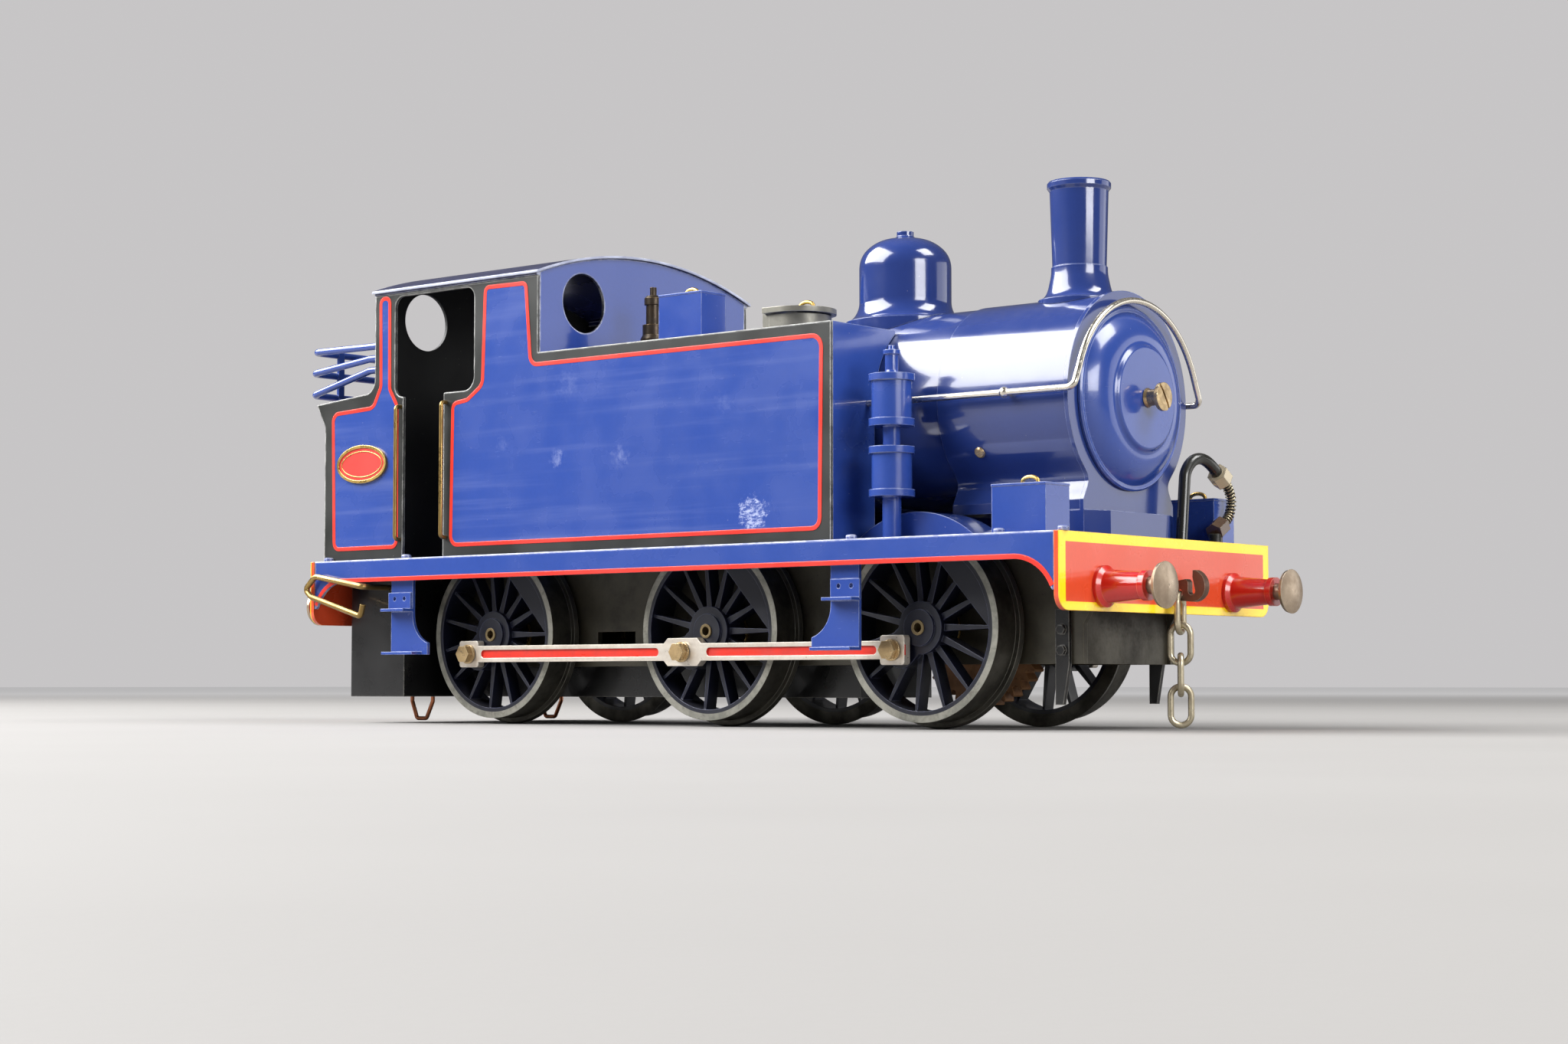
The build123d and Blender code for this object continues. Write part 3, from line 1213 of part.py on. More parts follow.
def spoked_wheel(axle_x, side):
    """Flanged spoked wheel with a crank boss and a balance weight opposite to it."""
    inward = -1
    pin_x, pin_y = crank_local(side)
    crank_turn = degrees(atan2(pin_y, pin_x))
    face = wheel_plane(axle_x, side, WHEEL_FACE_Y)
    with BuildSketch(face) as shape:
        Circle(TREAD_R)
        Circle(RIM_IN_R, mode=Mode.SUBTRACT)
    extrude(shape.sketch, amount=inward * (WHEEL_FACE_Y - WHEEL_BACK_Y))
    with BuildSketch(wheel_plane(axle_x, side, WHEEL_BACK_Y)) as shape:
        Circle(FLANGE_R)
        Circle(TREAD_R - 0.5, mode=Mode.SUBTRACT)
    extrude(shape.sketch, amount=1.1, taper=18)
    with BuildSketch(wheel_plane(axle_x, side, WHEEL_FACE_Y - 0.9)) as shape:
        with PolarLocations(0, SPOKES):
            with Locations((HUB_R / 2 + RIM_IN_R / 2 + 0.1, 0)):
                Trapezoid(1.5, RIM_IN_R - HUB_R + 1.2, 88, rotation=-90)
    extrude(shape.sketch, amount=inward * 3.4)
    with BuildSketch(wheel_plane(axle_x, side, WHEEL_FACE_Y - 0.7)) as shape:
        Circle(RIM_IN_R + 0.3)
        with Locations(Location((0, 0, 0), (0, 0, crank_turn))):
            with Locations((60 - WEIGHT_CHORD, 0)):
                Rectangle(120, 120, mode=Mode.SUBTRACT)
    extrude(shape.sketch, amount=inward * 2.6)
    with BuildSketch(wheel_plane(axle_x, side, WHEEL_FACE_Y + 0.2)) as shape:
        Circle(HUB_R)
        with Locations((pin_x, pin_y)):
            Circle(PIN_SEAT_R)
        with Locations(Location((0, 0, 0), (0, 0, crank_turn))):
            with Locations((CRANK_R / 2, 0)):
                Rectangle(CRANK_R, 2 * PIN_SEAT_R)
    extrude(shape.sketch, amount=inward * 6.2)
    with BuildSketch(wheel_plane(axle_x, side, WHEEL_FACE_Y + 0.2)) as shape:
        Circle(HUB_CAP_R)
    extrude(shape.sketch, amount=0.6)
    with BuildSketch(wheel_plane(axle_x, side, WHEEL_FACE_Y + 2)) as shape:
        Circle(AXLE_END_R + 0.02)
    extrude(shape.sketch, amount=-12, mode=Mode.SUBTRACT)
    with BuildSketch(wheel_plane(axle_x, side, WHEEL_FACE_Y + 2)) as shape:
        with Locations((pin_x, pin_y)):
            Circle(PIN_R + 0.02)
    extrude(shape.sketch, amount=-6.5, mode=Mode.SUBTRACT)


for name, axle_x in AXLE_X.items():
    with BuildPart() as wheels:
        for side in SIDES:
            spoked_wheel(axle_x, side)
    save(wheels.part, f"wheels_{name}")

    with BuildPart() as axle:
        with BuildSketch(side_plane(WHEEL_FACE_Y - 6.05)):
            with Locations((axle_x, AXLE_Z)):
                Circle(AXLE_R)
        extrude(amount=2 * (WHEEL_FACE_Y - 6.05))
        with BuildSketch(side_plane(WHEEL_FACE_Y + 1.1)):
            with Locations((axle_x, AXLE_Z)):
                Circle(AXLE_END_R)
        extrude(amount=2 * (WHEEL_FACE_Y + 1.1))
        for side in SIDES:
            with BuildSketch(wheel_plane(axle_x, side, WHEEL_FACE_Y + 1.1)):
                Circle(1.0)
            extrude(amount=-3, mode=Mode.SUBTRACT)
    save(axle.part, f"axle_{name}")

    with BuildPart() as crankpins:
        for side in SIDES:
            pin_x, pin_y = crank_local(side)
            stack = (
                (WHEEL_FACE_Y - 4.2, PIN_R, ROD_IN_Y + ROD_T + 0.35 - WHEEL_FACE_Y + 4.2),
                (ROD_IN_Y + ROD_T + 0.2, 2.3, 0.45),
            )
            for start, radius, length in stack:
                with BuildSketch(wheel_plane(axle_x, side, start)):
                    with Locations((pin_x, pin_y)):
                        Circle(radius)
                extrude(amount=length)
            with BuildSketch(wheel_plane(axle_x, side, ROD_IN_Y + ROD_T + 0.6)):
                with Locations((pin_x, pin_y)):
                    RegularPolygon(2.15, 6)
            extrude(amount=1.7)
    save(crankpins.part, f"crankpins_{name}")

# Coupling rods: fluted bars with a square boss on each end pin and a longer one in the middle.
ROD_H = 3.9
BOSS_H = 6.3
for side, side_name in ((-1, "right"), (1, "left")):
    pin_dx, pin_dz = crank_offset(side)
    with BuildPart() as rod:
        flat = Plane(origin=(0, side * ROD_IN_Y, AXLE_Z), x_dir=(1, 0, 0), z_dir=(0, side, 0))
        pin_row = -side * pin_dz
        with BuildSketch(flat) as rod_outline:
            middle = (AXLE_X["rear"] + AXLE_X["front"]) / 2
            with Locations((middle + pin_dx, pin_row)):
                Rectangle(AXLE_X["front"] - AXLE_X["rear"], ROD_H)
            with Locations((AXLE_X["rear"] + pin_dx, pin_row), (AXLE_X["front"] + pin_dx, pin_row)):
                RectangleRounded(6.4, BOSS_H, 0.7)
        extrude(amount=ROD_T)
        with BuildSketch(flat) as middle_boss:
            with Locations((pin_dx, pin_row)):
                Rectangle(12.0, BOSS_H)
            chamfer(middle_boss.vertices(), 1.6)
        extrude(amount=ROD_T)
        with BuildSketch(flat.offset(ROD_T - 0.45)):
            for near, far in ((AXLE_X["rear"] + 4.2, -7.2), (7.2, AXLE_X["front"] - 4.2)):
                with Locations(((near + far) / 2 + pin_dx, pin_row)):
                    SlotOverall(far - near, 1.9)
        extrude(amount=1, mode=Mode.SUBTRACT)
        with BuildSketch(flat.offset(-1)):
            with Locations(*[(x + pin_dx, pin_row) for x in AXLE_X.values()]):
                Circle(PIN_R + RUN_GAP)
        extrude(amount=ROD_T + 2, mode=Mode.SUBTRACT)
    save(rod.part, f"coupling_rod_{side_name}")

# ---- drive: motor, pinion and the large gear on the front axle ---------------------------------------
CENTRE_DISTANCE = GEAR_MODULE * (AXLE_GEAR_TEETH + PINION_TEETH) / 2
MESH_ANGLE = 147.4        # from the axle towards the motor, from +X towards +Z
GEAR_Y = -4.6             # outer face of both gears
GEAR_W = 3.4
MOTOR_X = AXLE_X["front"] + CENTRE_DISTANCE * cos(radians(MESH_ANGLE))
MOTOR_Z = AXLE_Z + CENTRE_DISTANCE * sin(radians(MESH_ANGLE))
MOTOR_R = 11.4
SHAFT_R = 1.0


def gear_face(centre, teeth, first_angle, bore):
    """Spur gear outline with straight-flanked teeth; the first tooth points at first_angle."""
    pitch_r = GEAR_MODULE * teeth / 2
    root_r = pitch_r - 1.25 * GEAR_MODULE
    tip_r = pitch_r + 0.9 * GEAR_MODULE
    root_half = 0.92 * GEAR_MODULE
    tip_half = 0.34 * GEAR_MODULE
    with Locations(centre):
        Circle(root_r)
    for index in range(teeth):
        turn = radians(first_angle + 360 * index / teeth)
        with BuildLine() as tooth:
            corners = ((root_r - 0.4, root_half), (root_r, root_half), (tip_r, tip_half),
                       (tip_r, -tip_half), (root_r, -root_half), (root_r - 0.4, -root_half))
            Polyline(
                *[(centre[0] + r * cos(turn) - h * sin(turn), centre[1] + r * sin(turn) + h * cos(turn))
                  for r, h in corners],
                close=True,
            )
        make_face(tooth.edges())
    with Locations(centre):
        Circle(bore, mode=Mode.SUBTRACT)


with BuildPart() as axle_gear:
    with BuildSketch(side_plane(GEAR_Y + GEAR_W)):
        gear_face((AXLE_X["front"], AXLE_Z), AXLE_GEAR_TEETH, MESH_ANGLE, AXLE_R + 0.01)
    extrude(amount=GEAR_W)
    with BuildSketch(side_plane(GEAR_Y + GEAR_W)):
        with Locations((AXLE_X["front"], AXLE_Z)):
            Circle(5.4)
            Circle(AXLE_R + 0.01, mode=Mode.SUBTRACT)
    extrude(amount=GEAR_W + 2.6)
save(axle_gear.part, "axle_gear")

with BuildPart() as motor_pinion:
    with BuildSketch(side_plane(GEAR_Y + GEAR_W + 0.4)):
        gear_face((MOTOR_X, MOTOR_Z), PINION_TEETH, MESH_ANGLE + 180 + 180 / PINION_TEETH, SHAFT_R)
    extrude(amount=GEAR_W + 0.8)
    with BuildSketch(side_plane(13.0)):
        with Locations((MOTOR_X, MOTOR_Z)):
            Circle(SHAFT_R)
    extrude(amount=13.0 - GEAR_Y + 0.6)
save(motor_pinion.part, "motor_pinion")

with BuildPart() as motor_case:
    with BuildSketch(side_plane(FRAME_Y - 0.02)):
        with Locations((MOTOR_X, MOTOR_Z)):
            Circle(MOTOR_R)
    extrude(amount=FRAME_Y - 1.0)
    fillet(motor_case.edges().filter_by(GeomType.CIRCLE).group_by(Axis.Y)[0], 0.8)
    with BuildSketch(side_plane(13.2)):
        with Locations((MOTOR_X, MOTOR_Z)):
            Circle(SHAFT_R + RUN_GAP)
    extrude(amount=14, mode=Mode.SUBTRACT)
save(motor_case.part, "motor_case")
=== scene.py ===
"""Looks of the gauge 1 side-tank locomotive: enamel, lining, bare metal, fittings and a studio."""

from math import atan2, cos, pi, radians, sin, tan

import bmesh
import bpy
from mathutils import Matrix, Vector
from mathutils.geometry import tessellate_polygon


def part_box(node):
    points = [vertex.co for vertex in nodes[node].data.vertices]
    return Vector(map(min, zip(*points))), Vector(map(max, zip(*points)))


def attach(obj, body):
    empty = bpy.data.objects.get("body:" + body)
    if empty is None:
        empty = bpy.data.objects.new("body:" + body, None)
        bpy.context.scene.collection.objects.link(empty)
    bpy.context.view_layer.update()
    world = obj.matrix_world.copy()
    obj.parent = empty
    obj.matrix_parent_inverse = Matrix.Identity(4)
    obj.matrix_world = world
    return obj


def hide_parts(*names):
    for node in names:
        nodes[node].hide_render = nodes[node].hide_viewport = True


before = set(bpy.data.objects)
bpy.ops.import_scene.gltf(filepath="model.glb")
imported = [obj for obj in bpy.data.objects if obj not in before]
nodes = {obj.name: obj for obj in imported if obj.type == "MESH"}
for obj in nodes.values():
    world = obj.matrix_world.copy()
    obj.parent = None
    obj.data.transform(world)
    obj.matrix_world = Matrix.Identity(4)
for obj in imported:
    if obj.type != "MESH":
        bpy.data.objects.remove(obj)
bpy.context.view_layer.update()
MM = 0.001
SIDES = {"left": 1, "right": -1}


def srgb(red, green, blue):
    """Linear colour of an 8-bit display colour."""
    def channel(value):
        value /= 255
        return value / 12.92 if value <= 0.04045 else ((value + 0.055) / 1.055) ** 2.4
    return (channel(red), channel(green), channel(blue), 1.0)


# ---- materials -------------------------------------------------------------------------------
class Finish:
    """A node material, with short calls for the nodes that the finishes share."""

    def __init__(self, name):
        self.material = bpy.data.materials.new(name)
        self.material.use_nodes = True
        self.tree = self.material.node_tree
        self.shader = self.tree.nodes["Principled BSDF"]
        self.place = self.new("ShaderNodeTexCoord").outputs["Object"]
        self.geometry = self.new("ShaderNodeNewGeometry")
        self.axes = None
        self.facing = None

    def new(self, kind, inputs=(), **settings):
        node = self.tree.nodes.new(kind)
        for key, value in settings.items():
            setattr(node, key, value)
        for socket, value in dict(inputs).items():
            self.feed(node, socket, value)
        return node

    def feed(self, node, socket, value):
        """Links a socket to value, or sets it if value is a plain number or colour."""
        if isinstance(value, bpy.types.NodeSocket):
            self.tree.links.new(value, node.inputs[socket])
        else:
            node.inputs[socket].default_value = value

    def math(self, operation, a, b=0.0):
        return self.new("ShaderNodeMath", {0: a, 1: b}, operation=operation).outputs[0]

    def vector(self, operation, a, b=(0.0, 0.0, 0.0)):
        """The number that a vector operation gives."""
        node = self.new("ShaderNodeVectorMath", {0: a, 1: b}, operation=operation)
        return node.outputs["Value"]

    def xyz(self):
        """Sockets of the place's three coordinates, in metres."""
        if self.axes is None:
            self.axes = self.new("ShaderNodeSeparateXYZ", {0: self.place}).outputs
        return self.axes

    def normal(self):
        """Sockets of the surface normal in the piece's own axes."""
        if self.facing is None:
            own = self.new("ShaderNodeTexCoord").outputs["Normal"]
            self.facing = self.new("ShaderNodeSeparateXYZ", {0: own}).outputs
        return self.facing

    def noise(self, scale, detail=3.0, roughness=0.5, stretch=None):
        place = self.place
        if stretch:
            place = self.new("ShaderNodeMapping", {0: place, "Scale": stretch}).outputs[0]
        inputs = {"Vector": place, "Scale": scale, "Detail": detail, "Roughness": roughness}
        return self.new("ShaderNodeTexNoise", inputs).outputs["Fac"]

    def between(self, value, low, high, out_low=0.0, out_high=1.0):
        """value scaled from low..high to out_low..out_high, with no overshoot."""
        inputs = {0: value, 1: low, 2: high, 3: out_low, 4: out_high}
        node = self.new("ShaderNodeMapRange", inputs, clamp=True, interpolation_type="SMOOTHSTEP")
        return node.outputs[0]

    def over(self, value, limit, soft=0.00002):
        """1 where value is over the limit, 0 below."""
        return self.between(value, limit - soft, limit + soft)

    def all(self, *masks):
        result = masks[0]
        for mask in masks[1:]:
            result = self.math("MULTIPLY", result, mask)
        return result

    def mix(self, factor, a, b):
        return self.new("ShaderNodeMix", {0: factor, 6: a, 7: b}, data_type="RGBA").outputs[2]

    def dimmed(self, colour, factor):
        """The colour, plain or a socket, with its brightness times factor."""
        if isinstance(colour, bpy.types.NodeSocket):
            return self.mix(1 - factor, colour, (0, 0, 0, 1))
        return tuple(c * factor for c in colour[:3]) + (1.0,)

    def specks(self, scale, size, share):
        """Small round dots, one in a share of the cells."""
        cells = self.new("ShaderNodeTexVoronoi", {"Vector": self.place, "Scale": scale})
        chance = self.new("ShaderNodeSeparateColor", {0: cells.outputs["Color"]}).outputs[0]
        dot = self.between(cells.outputs["Distance"], size, size * 0.5)
        return self.math("MULTIPLY", dot, self.over(chance, 1 - share, 0.01))

    def edges(self, radius, low=0.015, high=0.16):
        """(mask of the outer edges and corners, rounded normal)."""
        rounded = self.new("ShaderNodeBevel", {"Radius": radius}, samples=4).outputs[0]
        turn = self.vector("DOT_PRODUCT", rounded, self.geometry.outputs["Normal"])
        return self.between(turn, 1 - low, 1 - high), rounded

    def done(self, colour, roughness, height=None, depth=0.00003, strength=0.4, normal=None,
             **sockets):
        """Feeds the shader; the names in sockets have _ for a space."""
        self.feed(self.shader, "Base Color", colour)
        self.feed(self.shader, "Roughness", roughness)
        for socket, value in sockets.items():
            self.feed(self.shader, socket.replace("_", " "), value)
        if height is not None:
            inputs = {"Height": height, "Distance": depth, "Strength": strength}
            bump = self.new("ShaderNodeBump", inputs)
            if normal is not None:
                self.tree.links.new(normal, bump.inputs["Normal"])
            self.tree.links.new(bump.outputs[0], self.shader.inputs["Normal"])
        return self.material


DUST = srgb(176, 172, 166)


def enamel_layers(f, colour, worn, dust=0.5, wear=0.8, edge_width=0.0003):
    """(colour, wear mask, rounded normal): mottled paint, worn on its edges, with dust on it."""
    broad = f.between(f.noise(34.0, 4.0, 0.55), 0.2, 0.8, 0.0, 0.16)
    colour = f.mix(broad, colour, f.dimmed(colour, 0.7))
    fine = f.between(f.noise(1100.0, 2.0), 0.25, 0.75, 0.0, 0.10)
    colour = f.mix(fine, colour, f.dimmed(colour, 0.6))
    edge, rounded = f.edges(edge_width)
    patchy = f.between(f.noise(300.0, 3.0, 0.65), 0.32, 0.62, 0.3, 1.0)
    mask = f.math("MULTIPLY", f.all(edge, patchy), wear)
    colour = f.mix(mask, colour, worn)
    flecks = f.math("MULTIPLY", f.specks(520.0, 0.07, 0.10), 0.75 * dust)
    colour = f.mix(flecks, colour, DUST)
    upward = f.between(f.normal()[2], 0.55, 1.0)
    lying = f.all(upward, f.between(f.noise(420.0, 5.0, 0.7), 0.3, 0.8, 0.03, 0.16))
    colour = f.mix(f.math("MULTIPLY", lying, dust), colour, DUST)
    return colour, mask, rounded


def enamel(name, colour, worn, gloss=0.22, coat=0.5, dust=0.5, wear=0.8, edge_width=0.0003,
           marks=None):
    """Brushed-on gloss enamel: faint orange peel, small scratches, worn edges, dust."""
    f = Finish(name)
    if callable(colour):
        colour = colour(f)
    colour, mask, rounded = enamel_layers(f, colour, worn, dust, wear, edge_width)
    if marks:
        colour = marks(f, colour)
    scratch = f.between(f.noise(240.0, 2.0, 0.5, (1.0, 1.0, 7.0)), 0.60, 0.75, 0.0, 0.025)
    rough = f.between(f.noise(90.0, 3.0), 0.3, 0.7, gloss - 0.05, gloss + 0.06)
    rough = f.math("ADD", f.math("ADD", rough, scratch), f.math("MULTIPLY", mask, 0.25))
    return f.done(colour, rough, f.noise(900.0, 2.0), 0.00002, 0.20, rounded,
                  Coat_Weight=coat, Coat_Roughness=0.06, IOR=1.5)


def metal(name, colour, tarnish, rough=0.32, stretch=None, metallic=1.0, pits=0.0, wear=None,
          scale=120.0, relief=0.2):
    """Bare metal with uneven tarnish, fine brushing along one way, and brighter worn edges."""
    f = Finish(name)
    cloud = f.between(f.noise(scale, 5.0, 0.62), 0.25, 0.8)
    colour = f.mix(f.math("MULTIPLY", cloud, 0.75), colour, tarnish)
    edge, rounded = f.edges(0.00018)
    if wear:
        colour = f.mix(f.math("MULTIPLY", edge, 0.7), colour, wear)
    if pits:
        pitted = f.math("MULTIPLY", f.specks(900.0, 0.2, 0.25), pits)
        colour = f.mix(pitted, colour, f.dimmed(tarnish, 0.35))
    grain = f.noise(1400.0, 2.0, 0.5, stretch)
    dull = f.between(cloud, 0, 1, rough - 0.06, rough + 0.14)
    roughness = f.math("ADD", dull, f.between(grain, 0.3, 0.7, -0.04, 0.05))
    return f.done(colour, roughness, grain, 0.00001, relief, rounded, Metallic=metallic)


BLUE = srgb(42, 68, 142)
BLUE_WORN = srgb(176, 188, 226)
RED = srgb(198, 26, 14)
RED_WORN = srgb(240, 130, 90)
YELLOW = srgb(255, 214, 20)
BORDER = srgb(21, 23, 20)
BORDER_WEAR_AND_HIGHLIGHT = srgb(226, 226, 222)
BLACK = srgb(14, 14, 15)
SPOKE = srgb(13, 16, 32)
STEEL = srgb(226, 218, 206)
STEEL_DULL = srgb(168, 154, 136)

# marks on the right tank, by x and z in mm; of the smudges, the large one at x -34, z 78.5 is a
# painted reflection
SCUFF = (22.4, 46.4)
SMUDGES_AND_REFLECTION = (  # x, z, size, strength
    (-37.0, 61.5, 2.4, 0.20), (-17.0, 61.0, 3.2, 0.16), (-55.0, 66.0, 2.2, 0.07),
    (-34.0, 78.5, 4.5, 0.08), (14.0, 71.0, 3.0, 0.06),
)


def tank_marks(f, colour):
    """The scuffed patch low on the right tank, and faint smudges and rubbed streaks above it; the
    pale patch high at x -34 is a painted reflection.
    """
    pale = srgb(196, 204, 232)
    right = f.over(f.math("MULTIPLY", f.xyz()[1], -1), 0.0, 0.001)
    flat = f.new("ShaderNodeMapping", {0: f.place, "Scale": (1.0, 0.0, 1.0)}).outputs[0]

    def away(x, z):
        return f.vector("DISTANCE", flat, (x * MM, 0.0, z * MM))

    ragged = f.between(f.noise(900.0, 4.0, 0.7), 0.25, 0.75, -1.6 * MM, 1.6 * MM)
    patch = f.between(f.math("ADD", away(*SCUFF), ragged), 4.3 * MM, 2.4 * MM)
    streaks = f.noise(2200.0, 4.0, 0.75, (0.35, 1.0, 0.8))
    rubbed = f.between(streaks, 0.42, 0.62, 0.04, 0.62)
    colour = f.mix(f.all(right, patch, rubbed), colour, pale)
    # smudges, and one painted reflection high on the tank
    for x, z, size, strength in SMUDGES_AND_REFLECTION:
        cloudy = f.between(f.noise(520.0, 4.0, 0.7), 0.35, 0.7, 0.1, 1.0)
        near = f.math("ADD", away(x, z), f.math("MULTIPLY", ragged, 0.8))
        smudge_and_reflection = f.between(near, size * MM, 0.2 * size * MM)
        mask = f.math("MULTIPLY", f.all(right, smudge_and_reflection, cloudy), strength)
        colour = f.mix(mask, colour, pale)
    fine = f.between(f.noise(60.0, 3.0, 0.6, (0.25, 1.0, 6.0)), 0.45, 0.95, 0.0, 0.10)
    return f.mix(fine, colour, pale)


def roof_colour(f):
    """Roof: dark blue above, with a pale strip along the edge of the sheet and on its end faces:
    partly bare metal, partly a painted highlight.
    """
    y = f.math("ABSOLUTE", f.xyz()[1])
    edge_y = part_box("cab_roof")[1].y
    # pale on the long edges and on the end faces: bare metal and a painted highlight on the edge
    ends = f.over(f.math("ABSOLUTE", f.normal()[0]), 0.7, 0.05)
    rim = f.math("MAXIMUM", f.over(y, edge_y - 0.25 * MM), ends)
    rubbed = f.between(f.noise(150.0, 3.0), 0.3, 0.7, 0.55, 0.95)
    return f.mix(f.math("MULTIPLY", rim, rubbed), srgb(24, 32, 80), srgb(190, 196, 216))


BEAM_BORDER = {"side": 2.3 * MM, "top": 2.1 * MM, "foot": 1.75 * MM}
BEAM_FACE = 0.2 * MM


def beam_colour(f):
    """Red beam with a yellow border on its outer face."""
    x, y, z = f.xyz()
    low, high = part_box("buffer_beams")
    front = f.over(x, high.x - BEAM_FACE)
    rear = f.over(f.math("MULTIPLY", x, -1), -low.x - BEAM_FACE)
    sideways = f.over(f.math("ABSOLUTE", y), high.y - BEAM_BORDER["side"])
    above = f.over(z, high.z - BEAM_BORDER["top"])
    below = f.over(f.math("MULTIPLY", z, -1), -low.z - BEAM_BORDER["foot"])
    border = f.math("MAXIMUM", sideways, f.math("MAXIMUM", above, below))
    outer = f.math("MAXIMUM", front, rear)
    return f.mix(f.all(outer, border), srgb(208, 72, 38), YELLOW)


def sheet_colour(f):
    """Side sheets: near-black green outside for the border, black in the cab."""
    y = f.math("ABSOLUTE", f.xyz()[1])
    return f.mix(f.over(y, 37.3 * MM), srgb(14, 14, 16), BORDER)


def plate_colour(f):
    """Cab front: blue outside, black on the inner face."""
    return f.mix(f.over(f.normal()[0], 0.5, 0.05), srgb(16, 16, 18), BLUE)


UNION_NUTS = (  # rear face (y, z), direction (y, z), length, colour; all at HOSE_X
    ((26.0, 55.18), (0.852, -0.524), 3.1, srgb(186, 172, 142)),
    ((24.6, 42.1), (0.868, 0.496), 3.8, srgb(78, 56, 40)),
)
HOSE_X = 100.4


def pipe_colour(f):
    """Black pipe: bright metal at its upper union nut, browned copper at the lower one."""
    colour = srgb(30, 30, 25)
    for rear, along, length, bare in UNION_NUTS:
        along = Vector((0.0, *along))
        start = Vector((HOSE_X, *rear)) * MM
        away = f.vector("DISTANCE", f.place, tuple(start + along * length * MM / 2))
        ahead = f.vector("DOT_PRODUCT", f.place, tuple(along))
        beyond = f.over(ahead, start.dot(along) - 0.03 * MM)
        colour = f.mix(f.all(f.between(away, 3.2 * MM, 3.0 * MM), beyond), colour, bare)
    return colour


def rod_finish(name, node):
    """Bright steel rod with red paint in its flutes."""
    low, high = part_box(node)
    f = Finish(name)
    y = f.math("ABSOLUTE", f.xyz()[1])
    off = f.math("ABSOLUTE", f.math("SUBTRACT", f.xyz()[2], (low.z + high.z) / 2))
    floor_of_flute = f.all(f.between(y, 29.46 * MM, 29.4 * MM), f.over(y, 29.0 * MM))
    flute = f.all(floor_of_flute, f.between(off, 1.12 * MM, 1.08 * MM))
    cloud = f.between(f.noise(260.0, 5.0, 0.62), 0.25, 0.75, 0.0, 0.6)
    bare = f.mix(cloud, STEEL, STEEL_DULL)
    pitted = f.math("MULTIPLY", f.specks(900.0, 0.2, 0.2), 0.4)
    bare = f.mix(pitted, bare, srgb(96, 80, 62))
    edge, rounded = f.edges(0.00025)
    bare = f.mix(f.math("MULTIPLY", edge, 0.6), bare, srgb(250, 244, 234))
    paint = f.mix(cloud, srgb(214, 44, 24), srgb(176, 30, 18))
    grain = f.noise(1400.0, 2.0, 0.5, (0.1, 1.0, 1.0))
    dull = f.between(cloud, 0.0, 0.6, 0.30, 0.44)
    rough = f.math("ADD", dull, f.between(grain, 0.3, 0.7, -0.04, 0.05))
    metallic = f.math("SUBTRACT", 0.62, f.math("MULTIPLY", flute, 0.62))
    return f.done(f.mix(flute, bare, paint), rough, grain, 0.00002, 0.3, rounded,
                  Metallic=metallic)


TYRE_ROOT = 18.5 * MM
TYRE_OUTER_FACE = 26.2 * MM


def wheel_finish(name, node):
    """Dark blue spokes and boss, with a bare tyre."""
    low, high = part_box(node)
    f = Finish(name)
    x, y, z = f.xyz()
    across = f.math("SUBTRACT", x, (low.x + high.x) / 2)
    up = f.math("SUBTRACT", z, (low.z + high.z) / 2)
    squares = f.math("ADD", f.math("MULTIPLY", across, across), f.math("MULTIPLY", up, up))
    tyre = f.over(f.math("SQRT", squares), TYRE_ROOT, 0.00004)
    painted, mask, rounded = enamel_layers(f, SPOKE, srgb(112, 118, 156), 0.5, 0.7, 0.0002)
    cloud = f.between(f.noise(150.0, 5.0, 0.65), 0.3, 0.7)
    face = f.over(f.math("ABSOLUTE", y), TYRE_OUTER_FACE)
    bare = f.mix(cloud, srgb(158, 156, 146), srgb(112, 112, 104))
    grimy = f.mix(cloud, srgb(86, 84, 76), srgb(52, 50, 45))
    worn_line = f.between(f.noise(700.0, 3.0, 0.6), 0.5, 0.75, 0.0, 0.5)
    bare = f.mix(worn_line, bare, srgb(90, 88, 80))
    bare = f.mix(f.math("SUBTRACT", 1.0, face), bare, grimy)
    bare = f.mix(f.math("MULTIPLY", mask, 0.8), bare, srgb(196, 194, 182))
    rough = f.between(tyre, 0, 1, 0.34, 0.42)
    rough = f.math("ADD", rough, f.between(cloud, 0, 1, -0.05, 0.08))
    return f.done(f.mix(tyre, painted, bare), rough, f.noise(900.0, 3.0), 0.00003, 0.3, rounded,
                  Metallic=f.math("MULTIPLY", tyre, 0.75))


blue = enamel("blue_enamel", BLUE, BLUE_WORN)
# the same blue livery made darker and glossier for the boiler, smokebox, chimney and dome: painted
# shade on these round parts
boiler_blue_shaded = enamel("boiler_enamel_shaded", srgb(35, 53, 112), BLUE_WORN, 0.16, 0.6, 0.4, 0.5)
panel_blue = enamel("panel_enamel", BLUE, BLUE_WORN, 0.25, 0.45, 0.4, 0.3, marks=tank_marks)
# the footplate's worn edges are wide and near white: partly bare-metal wear, partly a painted
# highlight along the deck's edge
valance_blue = enamel("footplate_enamel", BLUE, srgb(240, 242, 250), 0.24, 0.5, 0.6, 1.0, 0.0008)
rail_blue = enamel("rail_enamel", BLUE, BLUE_WORN, 0.24, 0.5, 0.5, 0.25, 0.0002)
cab_black = enamel("cab_black", srgb(11, 11, 12), srgb(90, 90, 92), 0.6, 0.0, 0.3, 0.5)
roof_blue = enamel("roof_enamel", roof_colour, srgb(216, 220, 232), 0.26, 0.5, 0.6, 0.9, 0.0004)
